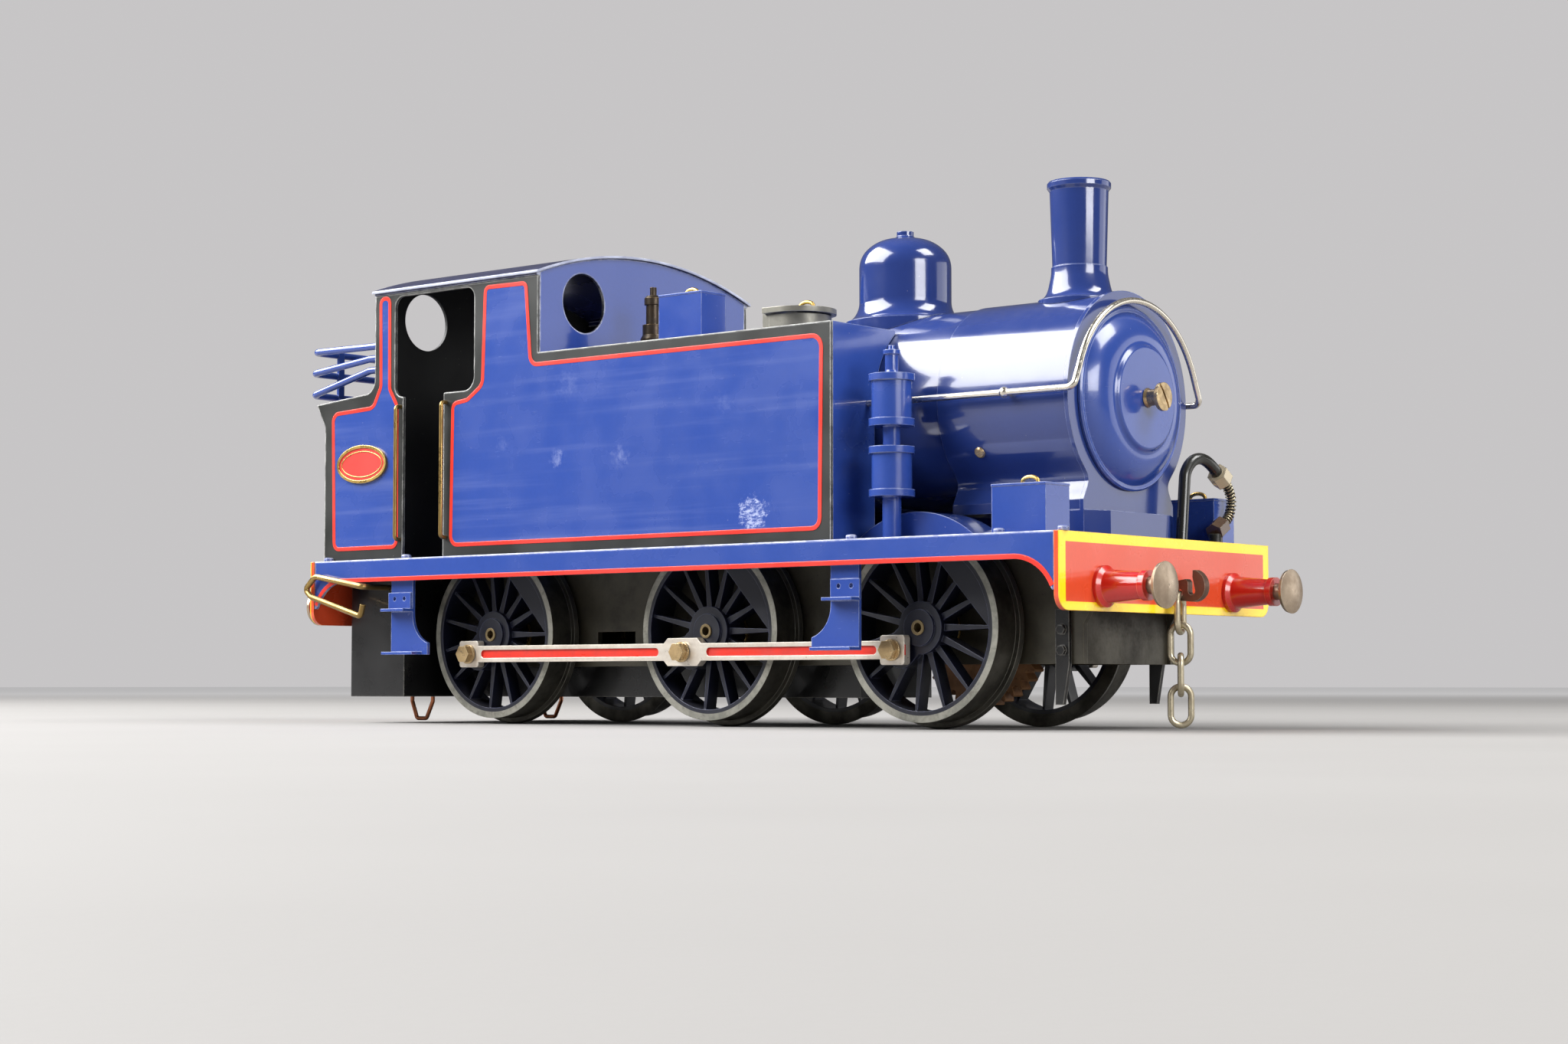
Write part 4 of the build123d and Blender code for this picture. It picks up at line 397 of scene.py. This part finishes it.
# the border sheets' and cab front's edges are near white at full wear: partly bare-metal wear,
# partly a painted highlight on the sheet edges
sheet_black = enamel("border_enamel", sheet_colour, BORDER_WEAR_AND_HIGHLIGHT, 0.38, 0.1, 0.5, 1.0, 0.0006)
cab_front_paint = enamel("cab_front_enamel", plate_colour, srgb(226, 230, 244), 0.16, 0.6, 0.5,
                         1.0, 0.0007)
black = enamel("black_enamel", BLACK, srgb(150, 148, 140), 0.3, 0.25, 0.6, 0.9, 0.0004)
red = enamel("red_enamel", RED, RED_WORN, 0.26, 0.5, 0.5)
beam_paint = enamel("beam_enamel", beam_colour, srgb(250, 196, 90), 0.28, 0.4, 0.5, 0.7)
line_red = enamel("lining_red", srgb(224, 40, 26), RED_WORN, 0.35, 0.2, 0.3, 0.3)
plate_red = enamel("plate_red", srgb(206, 52, 44), RED_WORN, 0.34, 0.3, 0.5)
pipe_black = enamel("pipe_enamel", pipe_colour, srgb(124, 118, 94), 0.28, 0.4, 0.6, 0.8)
rubber = enamel("hose_rubber", srgb(13, 13, 12), srgb(60, 58, 54), 0.6, 0.0, 0.6, 0.4)

frames_steel = metal("frame_steel", srgb(66, 62, 50), srgb(34, 31, 25), 0.45,
                     metallic=0.3, pits=0.4, wear=srgb(120, 114, 96))
hex_steel = metal("crankpin_steel", srgb(206, 178, 132), srgb(128, 104, 70), 0.32,
                  metallic=0.85, pits=0.12, wear=srgb(244, 224, 184), scale=160.0, relief=0.08)
buffer_steel = metal("buffer_steel", srgb(186, 168, 146), srgb(118, 98, 80), 0.34,
                     metallic=0.85, pits=0.25, wear=srgb(240, 228, 206), scale=180.0, relief=0.12)
axle_steel = metal("axle_steel", srgb(150, 132, 96), srgb(84, 72, 52), 0.4,
                   stretch=(1, 0.1, 1), metallic=0.85, pits=0.2, wear=srgb(200, 180, 138))
nickel = metal("nickel_wire", srgb(228, 222, 210), srgb(206, 197, 180), 0.17,
               metallic=0.95, wear=srgb(246, 242, 232), scale=60.0, relief=0.02)
old_brass = metal("old_brass", srgb(168, 140, 84), srgb(104, 82, 46), 0.3,
                  metallic=0.9, pits=0.1, wear=srgb(226, 200, 136), relief=0.1)
brass = metal("brass", srgb(220, 184, 104), srgb(146, 112, 56), 0.28,
              metallic=0.9, pits=0.2, wear=srgb(250, 224, 150), scale=200.0)
knob_brass = metal("knob_brass", srgb(206, 180, 138), srgb(124, 102, 70), 0.28,
                   metallic=0.85, pits=0.3, wear=srgb(244, 228, 190), scale=320.0)
copper = metal("copper_wire", srgb(206, 130, 92), srgb(120, 72, 50), 0.35,
               metallic=0.9, pits=0.2, wear=srgb(240, 176, 136))
iron = metal("chain_iron", srgb(200, 190, 164), srgb(124, 112, 90), 0.34,
             metallic=0.8, pits=0.4, wear=srgb(238, 230, 206), scale=320.0)
hook_iron = metal("hook_iron", srgb(112, 84, 68), srgb(62, 44, 36), 0.36,
                  metallic=0.6, pits=0.5, wear=srgb(200, 170, 146), scale=260.0)
valve_bronze = metal("valve_bronze", srgb(64, 52, 38), srgb(30, 26, 20), 0.36,
                     metallic=0.6, pits=0.3, wear=srgb(150, 122, 76), scale=300.0)
hose_wire = metal("hose_wire", srgb(168, 158, 132), srgb(104, 94, 76), 0.28,
                  metallic=0.85, pits=0.2, wear=srgb(196, 184, 154), scale=400.0)
lid_grey = metal("filler_grey", srgb(128, 126, 116), srgb(82, 80, 70), 0.36,
                 metallic=0.45, pits=0.3, wear=srgb(214, 210, 196))
fibre = metal("gear_fibre", srgb(136, 92, 50), srgb(80, 52, 30), 0.6,
              metallic=0.0, pits=0.5, wear=srgb(176, 130, 82), scale=300.0)
case_grey = metal("motor_case", srgb(96, 94, 86), srgb(54, 52, 46), 0.45,
                  metallic=0.6, pits=0.4, wear=srgb(160, 156, 142))

WEARS = (
    (blue, "footsteps tank_left tank_right bunker air_pump sandboxes splashers toolbox"
           " smokebox_door"),
    (boiler_blue_shaded, "boiler_barrel smokebox chimney dome"),
    (valance_blue, "footplate"),
    (rail_blue, "coal_rails"),
    (roof_blue, "cab_roof"),
    (cab_front_paint, "cab_front"),
    (cab_black, "cab_rear"),
    (sheet_black, "side_sheet_left side_sheet_right"),
    (beam_paint, "buffer_beams"),
    (red, "buffer_stocks"),
    (black, "guard_irons underframe_box"),
    (pipe_black, "brake_pipe"),
    (rubber, "brake_hose"),
    (frames_steel, "main_frames frame_stretchers"),
    (brass, "axle_bushes motor_pinion"),
    (old_brass, "cab_handrails rear_link"),
    (knob_brass, "door_knob"),
    (copper, "pickup_wires"),
    (nickel, "boiler_handrail"),
    (lid_grey, "filler_neck filler_lid"),
    (valve_bronze, "safety_valve"),
    (hook_iron, "coupling_hooks"),
    (fibre, "axle_gear"),
    (case_grey, "motor_case"),
)
finish_of = {name: finish for finish, names in WEARS for name in names.split()}
FAMILIES = {"crankpins_": hex_steel, "axle_": axle_steel, "buffer_head_": buffer_steel,
            "chain_link_": iron}
for name, node in nodes.items():
    if name.startswith("wheels_"):
        finish = wheel_finish(name + "_finish", name)
    elif name.startswith("coupling_rod_"):
        finish = rod_finish(name + "_finish", name)
    elif name in finish_of:
        finish = finish_of[name]
    else:
        finish = next(made for start, made in FAMILIES.items() if name.startswith(start))
    node.data.materials.clear()
    node.data.materials.append(finish)


# ---- mesh helpers, all in millimetres --------------------------------------------------------
SHARP_ANGLE = radians(40)


def piece(name, points, faces, finish, slot, body="chassis", smooth=False):
    mesh = bpy.data.meshes.new(name)
    mesh.from_pydata([Vector(p) * MM for p in points], [], faces)
    mesh.validate()
    mesh.update()
    for polygon in mesh.polygons:
        polygon.use_smooth = smooth
    mesh.materials.append(finish)
    thing = bpy.data.objects.new(name, mesh)
    bpy.context.scene.collection.objects.link(thing)
    if smooth:
        mesh.set_sharp_from_angle(angle=SHARP_ANGLE)
    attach(thing, body)
    return thing


def outward(thing):
    """Turns every face of a closed mesh outwards."""
    work = bmesh.new()
    work.from_mesh(thing.data)
    bmesh.ops.recalc_face_normals(work, faces=work.faces)
    work.to_mesh(thing.data)
    work.free()


def rounded_outline(corners, steps=7):
    """Closed outline with each (x, z, radius) corner turned on an arc."""
    outline = []
    count = len(corners)
    for i, (x, z, radius) in enumerate(corners):
        before = Vector(corners[i - 1][:2])
        after = Vector(corners[(i + 1) % count][:2])
        here = Vector((x, z))
        a = (before - here).normalized()
        b = (after - here).normalized()
        half = a.angle(b) / 2
        reach = radius / tan(half)
        centre = here + (a + b).normalized() * (radius / sin(half))
        outline += arc(centre, here + a * reach, here + b * reach, steps)
    return outline


def arc(centre, start, end, steps):
    """Points on the shorter arc about a centre, from start to end."""
    a = start - centre
    b = end - centre
    first = atan2(a.y, a.x)
    turn = (atan2(b.y, b.x) - first + pi) % (2 * pi) - pi
    angles = [first + turn * k / steps for k in range(steps + 1)]
    return [centre + Vector((cos(angle), sin(angle))) * a.length for angle in angles]


def inset(outline, distance):
    """The outline moved in by a distance, or out if it is negative."""
    area = sum(p.x * q.y - q.x * p.y for p, q in zip(outline, outline[1:] + outline[:1]))
    sign = 1 if area > 0 else -1
    moved = []
    for i, here in enumerate(outline):
        before = (here - outline[i - 1]).normalized()
        after = (outline[(i + 1) % len(outline)] - here).normalized()
        along = (before + after).normalized()
        across = Vector((-along.y, along.x)) * sign
        moved.append(here + across * distance / max(0.5, along.dot(before)))
    return moved


def slab(name, outline, low, high, finish, slot, place):
    """Solid between two levels of one outline; place turns (x, z, level) into a point."""
    count = len(outline)
    points = [place(p.x, p.y, level) for level in (low, high) for p in outline]
    triangles = tessellate_polygon([[Vector((p.x, p.y, 0)) for p in outline]])
    faces = [tuple(t) for t in triangles]
    faces += [tuple(count + i for i in reversed(t)) for t in triangles]
    for i in range(count):
        j = (i + 1) % count
        faces.append((i, j, count + j, count + i))
    outward(piece(name, points, faces, finish, slot))


def band(name, outline, width, low, high, finish, slot, place):
    """Flat strip that follows a closed outline."""
    rings = (inset(outline, -width / 2), inset(outline, width / 2))
    count = len(outline)
    points = [place(p.x, p.y, level) for level in (low, high) for ring in rings for p in ring]
    faces = []
    for i in range(count):
        j = (i + 1) % count
        faces += [(i, j, count + j, count + i),
                  (2 * count + i, 3 * count + i, 3 * count + j, 2 * count + j),
                  (i, 2 * count + i, 2 * count + j, j),
                  (count + i, count + j, 3 * count + j, 3 * count + i)]
    outward(piece(name, points, faces, finish, slot))


def sideways(axis):
    """A direction square to an axis."""
    return axis.cross(Vector((0, 0, 1)) if abs(axis.z) < 0.9 else Vector((1, 0, 0))).normalized()


def ring_faces(a, b, sides):
    """Faces between the rings of points that start at a and at b."""
    return [(a + k, a + (k + 1) % sides, b + (k + 1) % sides, b + k) for k in range(sides)]


def tube(path, radius, sides=10):
    """(points, faces) of a round wire along a path."""
    path = [Vector(p) for p in path]
    last = len(path) - 1
    points = []
    side = None
    for i, here in enumerate(path):
        along = (path[min(i + 1, last)] - path[max(i - 1, 0)]).normalized()
        if side is None:
            side = sideways(along)
        side = (side - along * side.dot(along)).normalized()
        other = along.cross(side)
        for k in range(sides):
            angle = 2 * pi * k / sides
            points.append(here + (side * cos(angle) + other * sin(angle)) * radius)
    faces = []
    for i in range(last):
        faces += ring_faces(i * sides, (i + 1) * sides, sides)
    faces += [tuple(range(sides)), tuple(reversed(range(last * sides, (last + 1) * sides)))]
    return points, faces


def turned(profile, origin, axis, sides=20, spin=0.0):
    """(points, faces) of a (radius, height) profile about an axis; it starts and ends on it."""
    axis = Vector(axis).normalized()
    side = sideways(axis)
    other = axis.cross(side)
    points = []
    for radius, height in profile[1:-1]:
        centre = Vector(origin) + axis * height
        for k in range(sides):
            angle = 2 * pi * k / sides + spin
            points.append(centre + (side * cos(angle) + other * sin(angle)) * radius)
    foot = len(points)
    points.append(Vector(origin) + axis * profile[0][1])
    points.append(Vector(origin) + axis * profile[-1][1])
    last = foot - sides
    faces = []
    for ring in range(0, last, sides):
        faces += ring_faces(ring, ring + sides, sides)
    faces += [((k + 1) % sides, k, foot) for k in range(sides)]
    faces += [(last + k, last + (k + 1) % sides, foot + 1) for k in range(sides)]
    return points, faces


def fitting(name, parts, finish, slot, body="chassis"):
    """One smooth piece from several (points, faces)."""
    points = []
    faces = []
    for some_points, some_faces in parts:
        base = len(points)
        points += some_points
        faces += [tuple(base + i for i in face) for face in some_faces]
    outward(piece(name, points, faces, finish, slot, body, True))


# ---- lining and number plates on the side sheets ---------------------------------------------
SHEET_Y = 37.4
SUNK = 0.05            # how far a panel or a line goes into the sheet
PANEL_PROUD = 0.04
LINE_PROUD = 0.08
LINE_WIDTH = 1.0
LINED_PANELS = {  # corners of the red lines: x, z, radius
    "tank": (
        (-72.3, 42.7, 2.2), (-71.8, 76.5, 1.5), (-66.9, 77.1, 2.0), (-61.7, 80.4, 3.0),
        (-60.9, 103.5, 1.3), (-47.4, 103.3, 1.3), (-45.7, 83.9, 2.4), (41.6, 83.8, 2.6),
        (41.1, 42.6, 2.2),
    ),
    "bunker": (
        (-97.7, 104.0, 1.35), (-94.5, 104.0, 1.35), (-94.3, 81.6, 2.5), (-91.6, 77.4, 2.5),
        (-91.4, 42.9, 1.8), (-114.2, 42.9, 1.8), (-115.0, 76.6, 2.0), (-100.2, 77.3, 2.8),
        (-97.4, 82.4, 2.8),
    ),
}
PLATE_CENTRE = (-103.8, 63.6)
PLATE_HALF = (8.6, 4.35)
PLATE_STEPS = 72
plate_edge = [Vector((PLATE_CENTRE[0] + PLATE_HALF[0] * cos(k * 2 * pi / PLATE_STEPS),
                      PLATE_CENTRE[1] + PLATE_HALF[1] * sin(k * 2 * pi / PLATE_STEPS)))
              for k in range(PLATE_STEPS)]
PLATE_RIM_WIDTH = 0.7
PLATE_BEAD_WIDTH = 0.22


def on_side(s):
    """For slab and band: places (x, z, level) on one side of the locomotive."""
    def place(x, z, level):
        return (x, s * level, z)
    return place


for side, s in SIDES.items():
    place = on_side(s)
    for part, corners in LINED_PANELS.items():
        outline = rounded_outline(corners)
        slab(f"panel_{part}_{side}", inset(outline, 0.2), SHEET_Y - SUNK, SHEET_Y + PANEL_PROUD,
             panel_blue, "blue_paint", place)
        band(f"line_{part}_{side}", outline, LINE_WIDTH, SHEET_Y - SUNK, SHEET_Y + LINE_PROUD,
             line_red, "red_paint", place)
    slab(f"plate_field_{side}", inset(plate_edge, 0.1), SHEET_Y - 0.02, SHEET_Y + 0.45,
         plate_red, "red_paint", place)
    band(f"plate_rim_{side}", plate_edge, PLATE_RIM_WIDTH, SHEET_Y - 0.02, SHEET_Y + 0.7,
         brass, "brass", place)
    band(f"plate_bead_{side}", inset(plate_edge, 1.2), PLATE_BEAD_WIDTH, SHEET_Y + 0.4,
         SHEET_Y + 0.56, brass, "brass", place)

# red line along the lower edge of the footplate's valances
plate_low, plate_high = (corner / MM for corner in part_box("footplate"))
DECK = plate_high.z
EDGE_Z = 34.4
EDGE_LINE_WIDTH = 1.05


def leg_curve(end_x, inward, steps=10):
    """Valance edge at one end: from the foot of the leg, on an arc, to the level edge."""
    start = Vector((end_x + inward * 1.0, plate_low.z + 0.6))
    end = Vector((end_x + inward * 9.5, EDGE_Z))
    along = Vector((inward, 2.2)).normalized()
    across = Vector((-along.y, along.x))
    chord = end - start
    centre = start + across * (chord.length_squared / (2 * chord.dot(across)))
    return arc(centre, start, end, steps)


lower = leg_curve(plate_low.x, 1) + leg_curve(plate_high.x, -1)[::-1]
upper = []
for i, here in enumerate(lower):
    along = (lower[min(i + 1, len(lower) - 1)] - lower[max(i - 1, 0)]).normalized()
    upper.append(here + Vector((-along.y, along.x)) * EDGE_LINE_WIDTH)
for side, s in SIDES.items():
    slab(f"line_valance_{side}", lower + upper[::-1], plate_high.y - SUNK, plate_high.y + SUNK,
         line_red, "red_paint", on_side(s))

# ---- small fittings --------------------------------------------------------------------------
HEX_HEAD = ((0, 0), (1.15, 0), (1.15, 0.75), (0.9, 0.95), (0, 0.95))
BOLT_Y = 38.6
BOLTS = (  # x, side
    (103.9, -1), (88.4, -1), (50.6, -1), (-86.5, -1), (-114.8, -1),
    (50.6, 1), (-86.5, 1), (-114.8, 1),
)
fitting("footplate_bolts",
        [turned(HEX_HEAD, (x, s * BOLT_Y, DECK), (0, 0, 1), 6, 0.3) for x, s in BOLTS],
        valance_blue, "blue_paint")


def loop_handle(x, y, z, half=1.9, rise=1.45, wire=0.42):
    """Brass wire bent into a low arch along X, with its feet in the surface."""
    shoulder = z + 0.3 * rise
    path = [(x - half, y, z - 0.1), (x - half, y, shoulder)]
    for k in range(1, 12):
        angle = k * pi / 12
        path.append((x - half * cos(angle), y, z + rise * (0.3 + 0.7 * sin(angle))))
    path += [(x + half, y, shoulder), (x + half, y, z - 0.1)]
    return tube(path, wire, 12)


def top_of(node):
    """(x, y, z) of the middle of a node's top, in mm."""
    low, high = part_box(node)
    return (low.x + high.x) / 2 / MM, (low.y + high.y) / 2 / MM, high.z / MM


x, y, z = top_of("sandboxes")
fitting("sandbox_handles", [loop_handle(x, s * 32.3, z) for s in (-1, 1)], brass, "brass")
fitting("toolbox_handle", [loop_handle(*top_of("toolbox"), 1.7, 1.2)], brass, "brass")
x, y, z = top_of("filler_lid")
fitting("lid_handle", [loop_handle(x + 1.0, -26.0, z - 0.2)], brass, "brass", "lid")

# washout plug on the right of the boiler, below the handrail
BOILER_Z = 69.44
PLUG_ANGLE = radians(-30)
PLUG = ((0, -0.4), (1.25, -0.4), (1.25, 0.35), (0.95, 0.6), (0, 0.6))
plug_axis = Vector((0, -cos(PLUG_ANGLE), sin(PLUG_ANGLE)))
plug_at = Vector((70.0, 0, BOILER_Z)) + plug_axis * 22.2
fitting("washout_plug", [turned(PLUG, plug_at, plug_axis, 24)], hex_steel, "brass")

# rubber hose between the two union nuts, with an armour coil round it
HOSE = [(HOSE_X, y, z) for y, z in (
    (27.35, 54.35), (30.1, 52.6), (31.85, 49.5), (31.1, 46.4), (29.2, 44.65), (26.9, 43.41))]


def smooth_path(route, steps):
    """Points on a Catmull-Rom curve through the route."""
    ends = [Vector(route[0]) * 2 - Vector(route[1])] + [Vector(p) for p in route]
    ends.append(Vector(route[-1]) * 2 - Vector(route[-2]))
    path = []
    for i in range(1, len(ends) - 2):
        a, b, c, d = ends[i - 1:i + 3]
        for k in range(steps):
            t = k / steps
            path.append(0.5 * (2 * b + (c - a) * t + (2 * a - 5 * b + 4 * c - d) * t * t
                               + (3 * b - a - 3 * c + d) * t ** 3))
    path.append(ends[-2])
    return path


def coil(route, radius, wire, turns, per_turn=16):
    """Wire wound round a route that lies in one plane of constant X."""
    line = smooth_path(route, 40)
    lengths = [0.0]
    for p, q in zip(line, line[1:]):
        lengths.append(lengths[-1] + (q - p).length)
    path = []
    spot = 0
    total = turns * per_turn
    across = Vector((1, 0, 0))
    for k in range(total + 1):
        want = lengths[-1] * k / total
        while spot < len(line) - 2 and lengths[spot + 1] < want:
            spot += 1
        share = (want - lengths[spot]) / (lengths[spot + 1] - lengths[spot])
        here = line[spot].lerp(line[spot + 1], share)
        other = (line[spot + 1] - line[spot]).normalized().cross(across)
        angle = 2 * pi * k / per_turn
        path.append(here + (across * cos(angle) + other * sin(angle)) * radius)
    return tube(path, wire, 8)


hose_core = piece("hose_core", *tube(smooth_path(HOSE, 10), 0.75, 20), rubber, "rubber",
                  "chassis", True)
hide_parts("brake_hose")
fitting("hose_coil", [coil(HOSE, 0.95, 0.2, 19)], hose_wire, "rubber")

# ---- studio ----------------------------------------------------------------------------------
FLOOR_REACH = 6.0
FLOOR_DEPTH = 0.02
# the floor glows more the farther it lies from the model: painted light that brightens the far
# floor towards the backdrop
GLOW_START = 0.6
GLOW_END = 2.2
GLOW_STRENGTH = 0.46
floor_finish = Finish("studio_floor")
tone = floor_finish.mix(floor_finish.noise(14.0, 3.0), srgb(138, 136, 134), srgb(144, 142, 140))
middle = floor_finish.vector("LENGTH", floor_finish.place)
floor_glow = floor_finish.between(middle, GLOW_START, GLOW_END, 0.0, GLOW_STRENGTH)
floor_finish.done(tone, 0.75, floor_finish.noise(900.0, 3.0), 0.0001, 0.15,
                  Emission_Color=srgb(250, 249, 250), Emission_Strength=floor_glow)
corners = [(x * FLOOR_REACH, y * FLOOR_REACH, z)
           for z in (-FLOOR_DEPTH, 0.0) for y in (-1, 1) for x in (-1, 1)]
floor_mesh = bpy.data.meshes.new("studio_floor")
floor_mesh.from_pydata(corners, [], [(0, 2, 3, 1), (4, 5, 7, 6), (0, 1, 5, 4), (2, 6, 7, 3),
                                     (0, 4, 6, 2), (1, 3, 7, 5)])
floor_mesh.materials.append(floor_finish.material)
floor = bpy.data.objects.new("studio_floor", floor_mesh)
bpy.context.scene.collection.objects.link(floor)

SOFTBOXES = (  # name, place, aim, size, watts
    ("key_left", (-0.70, -0.55, 0.80), (0.0, 0.0, 0.06), (1.5, 0.9), 54.0),
    ("key_overhead_front", (0.75, 0.25, 1.0), (0.05, 0.0, 0.07), (0.55, 0.55), 12.0),
    ("fill_front", (1.5, -0.35, 0.5), (0.1, 0.0, 0.05), (0.8, 0.5), 15.0),
    ("glow_right", (0.75, 0.95, 0.22), (0.05, 0.0, 0.06), (0.9, 0.42), 1.8),
)
for name, spot, aim, size, watts in SOFTBOXES:
    data = bpy.data.lights.new(name, "AREA")
    data.shape = "RECTANGLE"
    data.size, data.size_y = size
    data.energy = watts
    lamp = bpy.data.objects.new(name, data)
    lamp.location = spot
    lamp.visible_camera = False
    lamp.rotation_euler = (Vector(aim) - Vector(spot)).to_track_quat("-Z", "Y").to_euler()
    bpy.context.scene.collection.objects.link(lamp)

# the sky lights the scene dimly, and the camera sees a paler backdrop in its place
world = bpy.data.worlds.new("studio")
bpy.context.scene.world = world
world.use_nodes = True
tree = world.node_tree
sky = tree.nodes["Background"]
sky.inputs["Color"].default_value = srgb(206, 204, 206)
sky.inputs["Strength"].default_value = 0.18
backdrop = tree.nodes.new("ShaderNodeBackground")
backdrop.inputs["Color"].default_value = srgb(214, 212, 213)
backdrop.inputs["Strength"].default_value = 0.85
rays = tree.nodes.new("ShaderNodeLightPath")
join = tree.nodes.new("ShaderNodeMixShader")
tree.links.new(rays.outputs["Is Camera Ray"], join.inputs[0])
tree.links.new(sky.outputs[0], join.inputs[1])
tree.links.new(backdrop.outputs[0], join.inputs[2])
tree.links.new(join.outputs[0], tree.nodes["World Output"].inputs["Surface"])

# the photograph's viewing angle, from a camera fitted to it
camera_data = bpy.data.cameras.new("camera")
camera_data.lens = 62.47
camera_data.sensor_width = 36.0
camera_data.clip_start = 0.01
camera = bpy.data.objects.new("camera", camera_data)
camera.location = (0.40395, -0.48536, 0.00963)
camera.rotation_euler = (radians(93.4), 0.0, radians(39.76))
bpy.context.scene.collection.objects.link(camera)
bpy.context.scene.camera = camera

bpy.context.scene.view_settings.view_transform = "Standard"
bpy.context.view_layer.update()
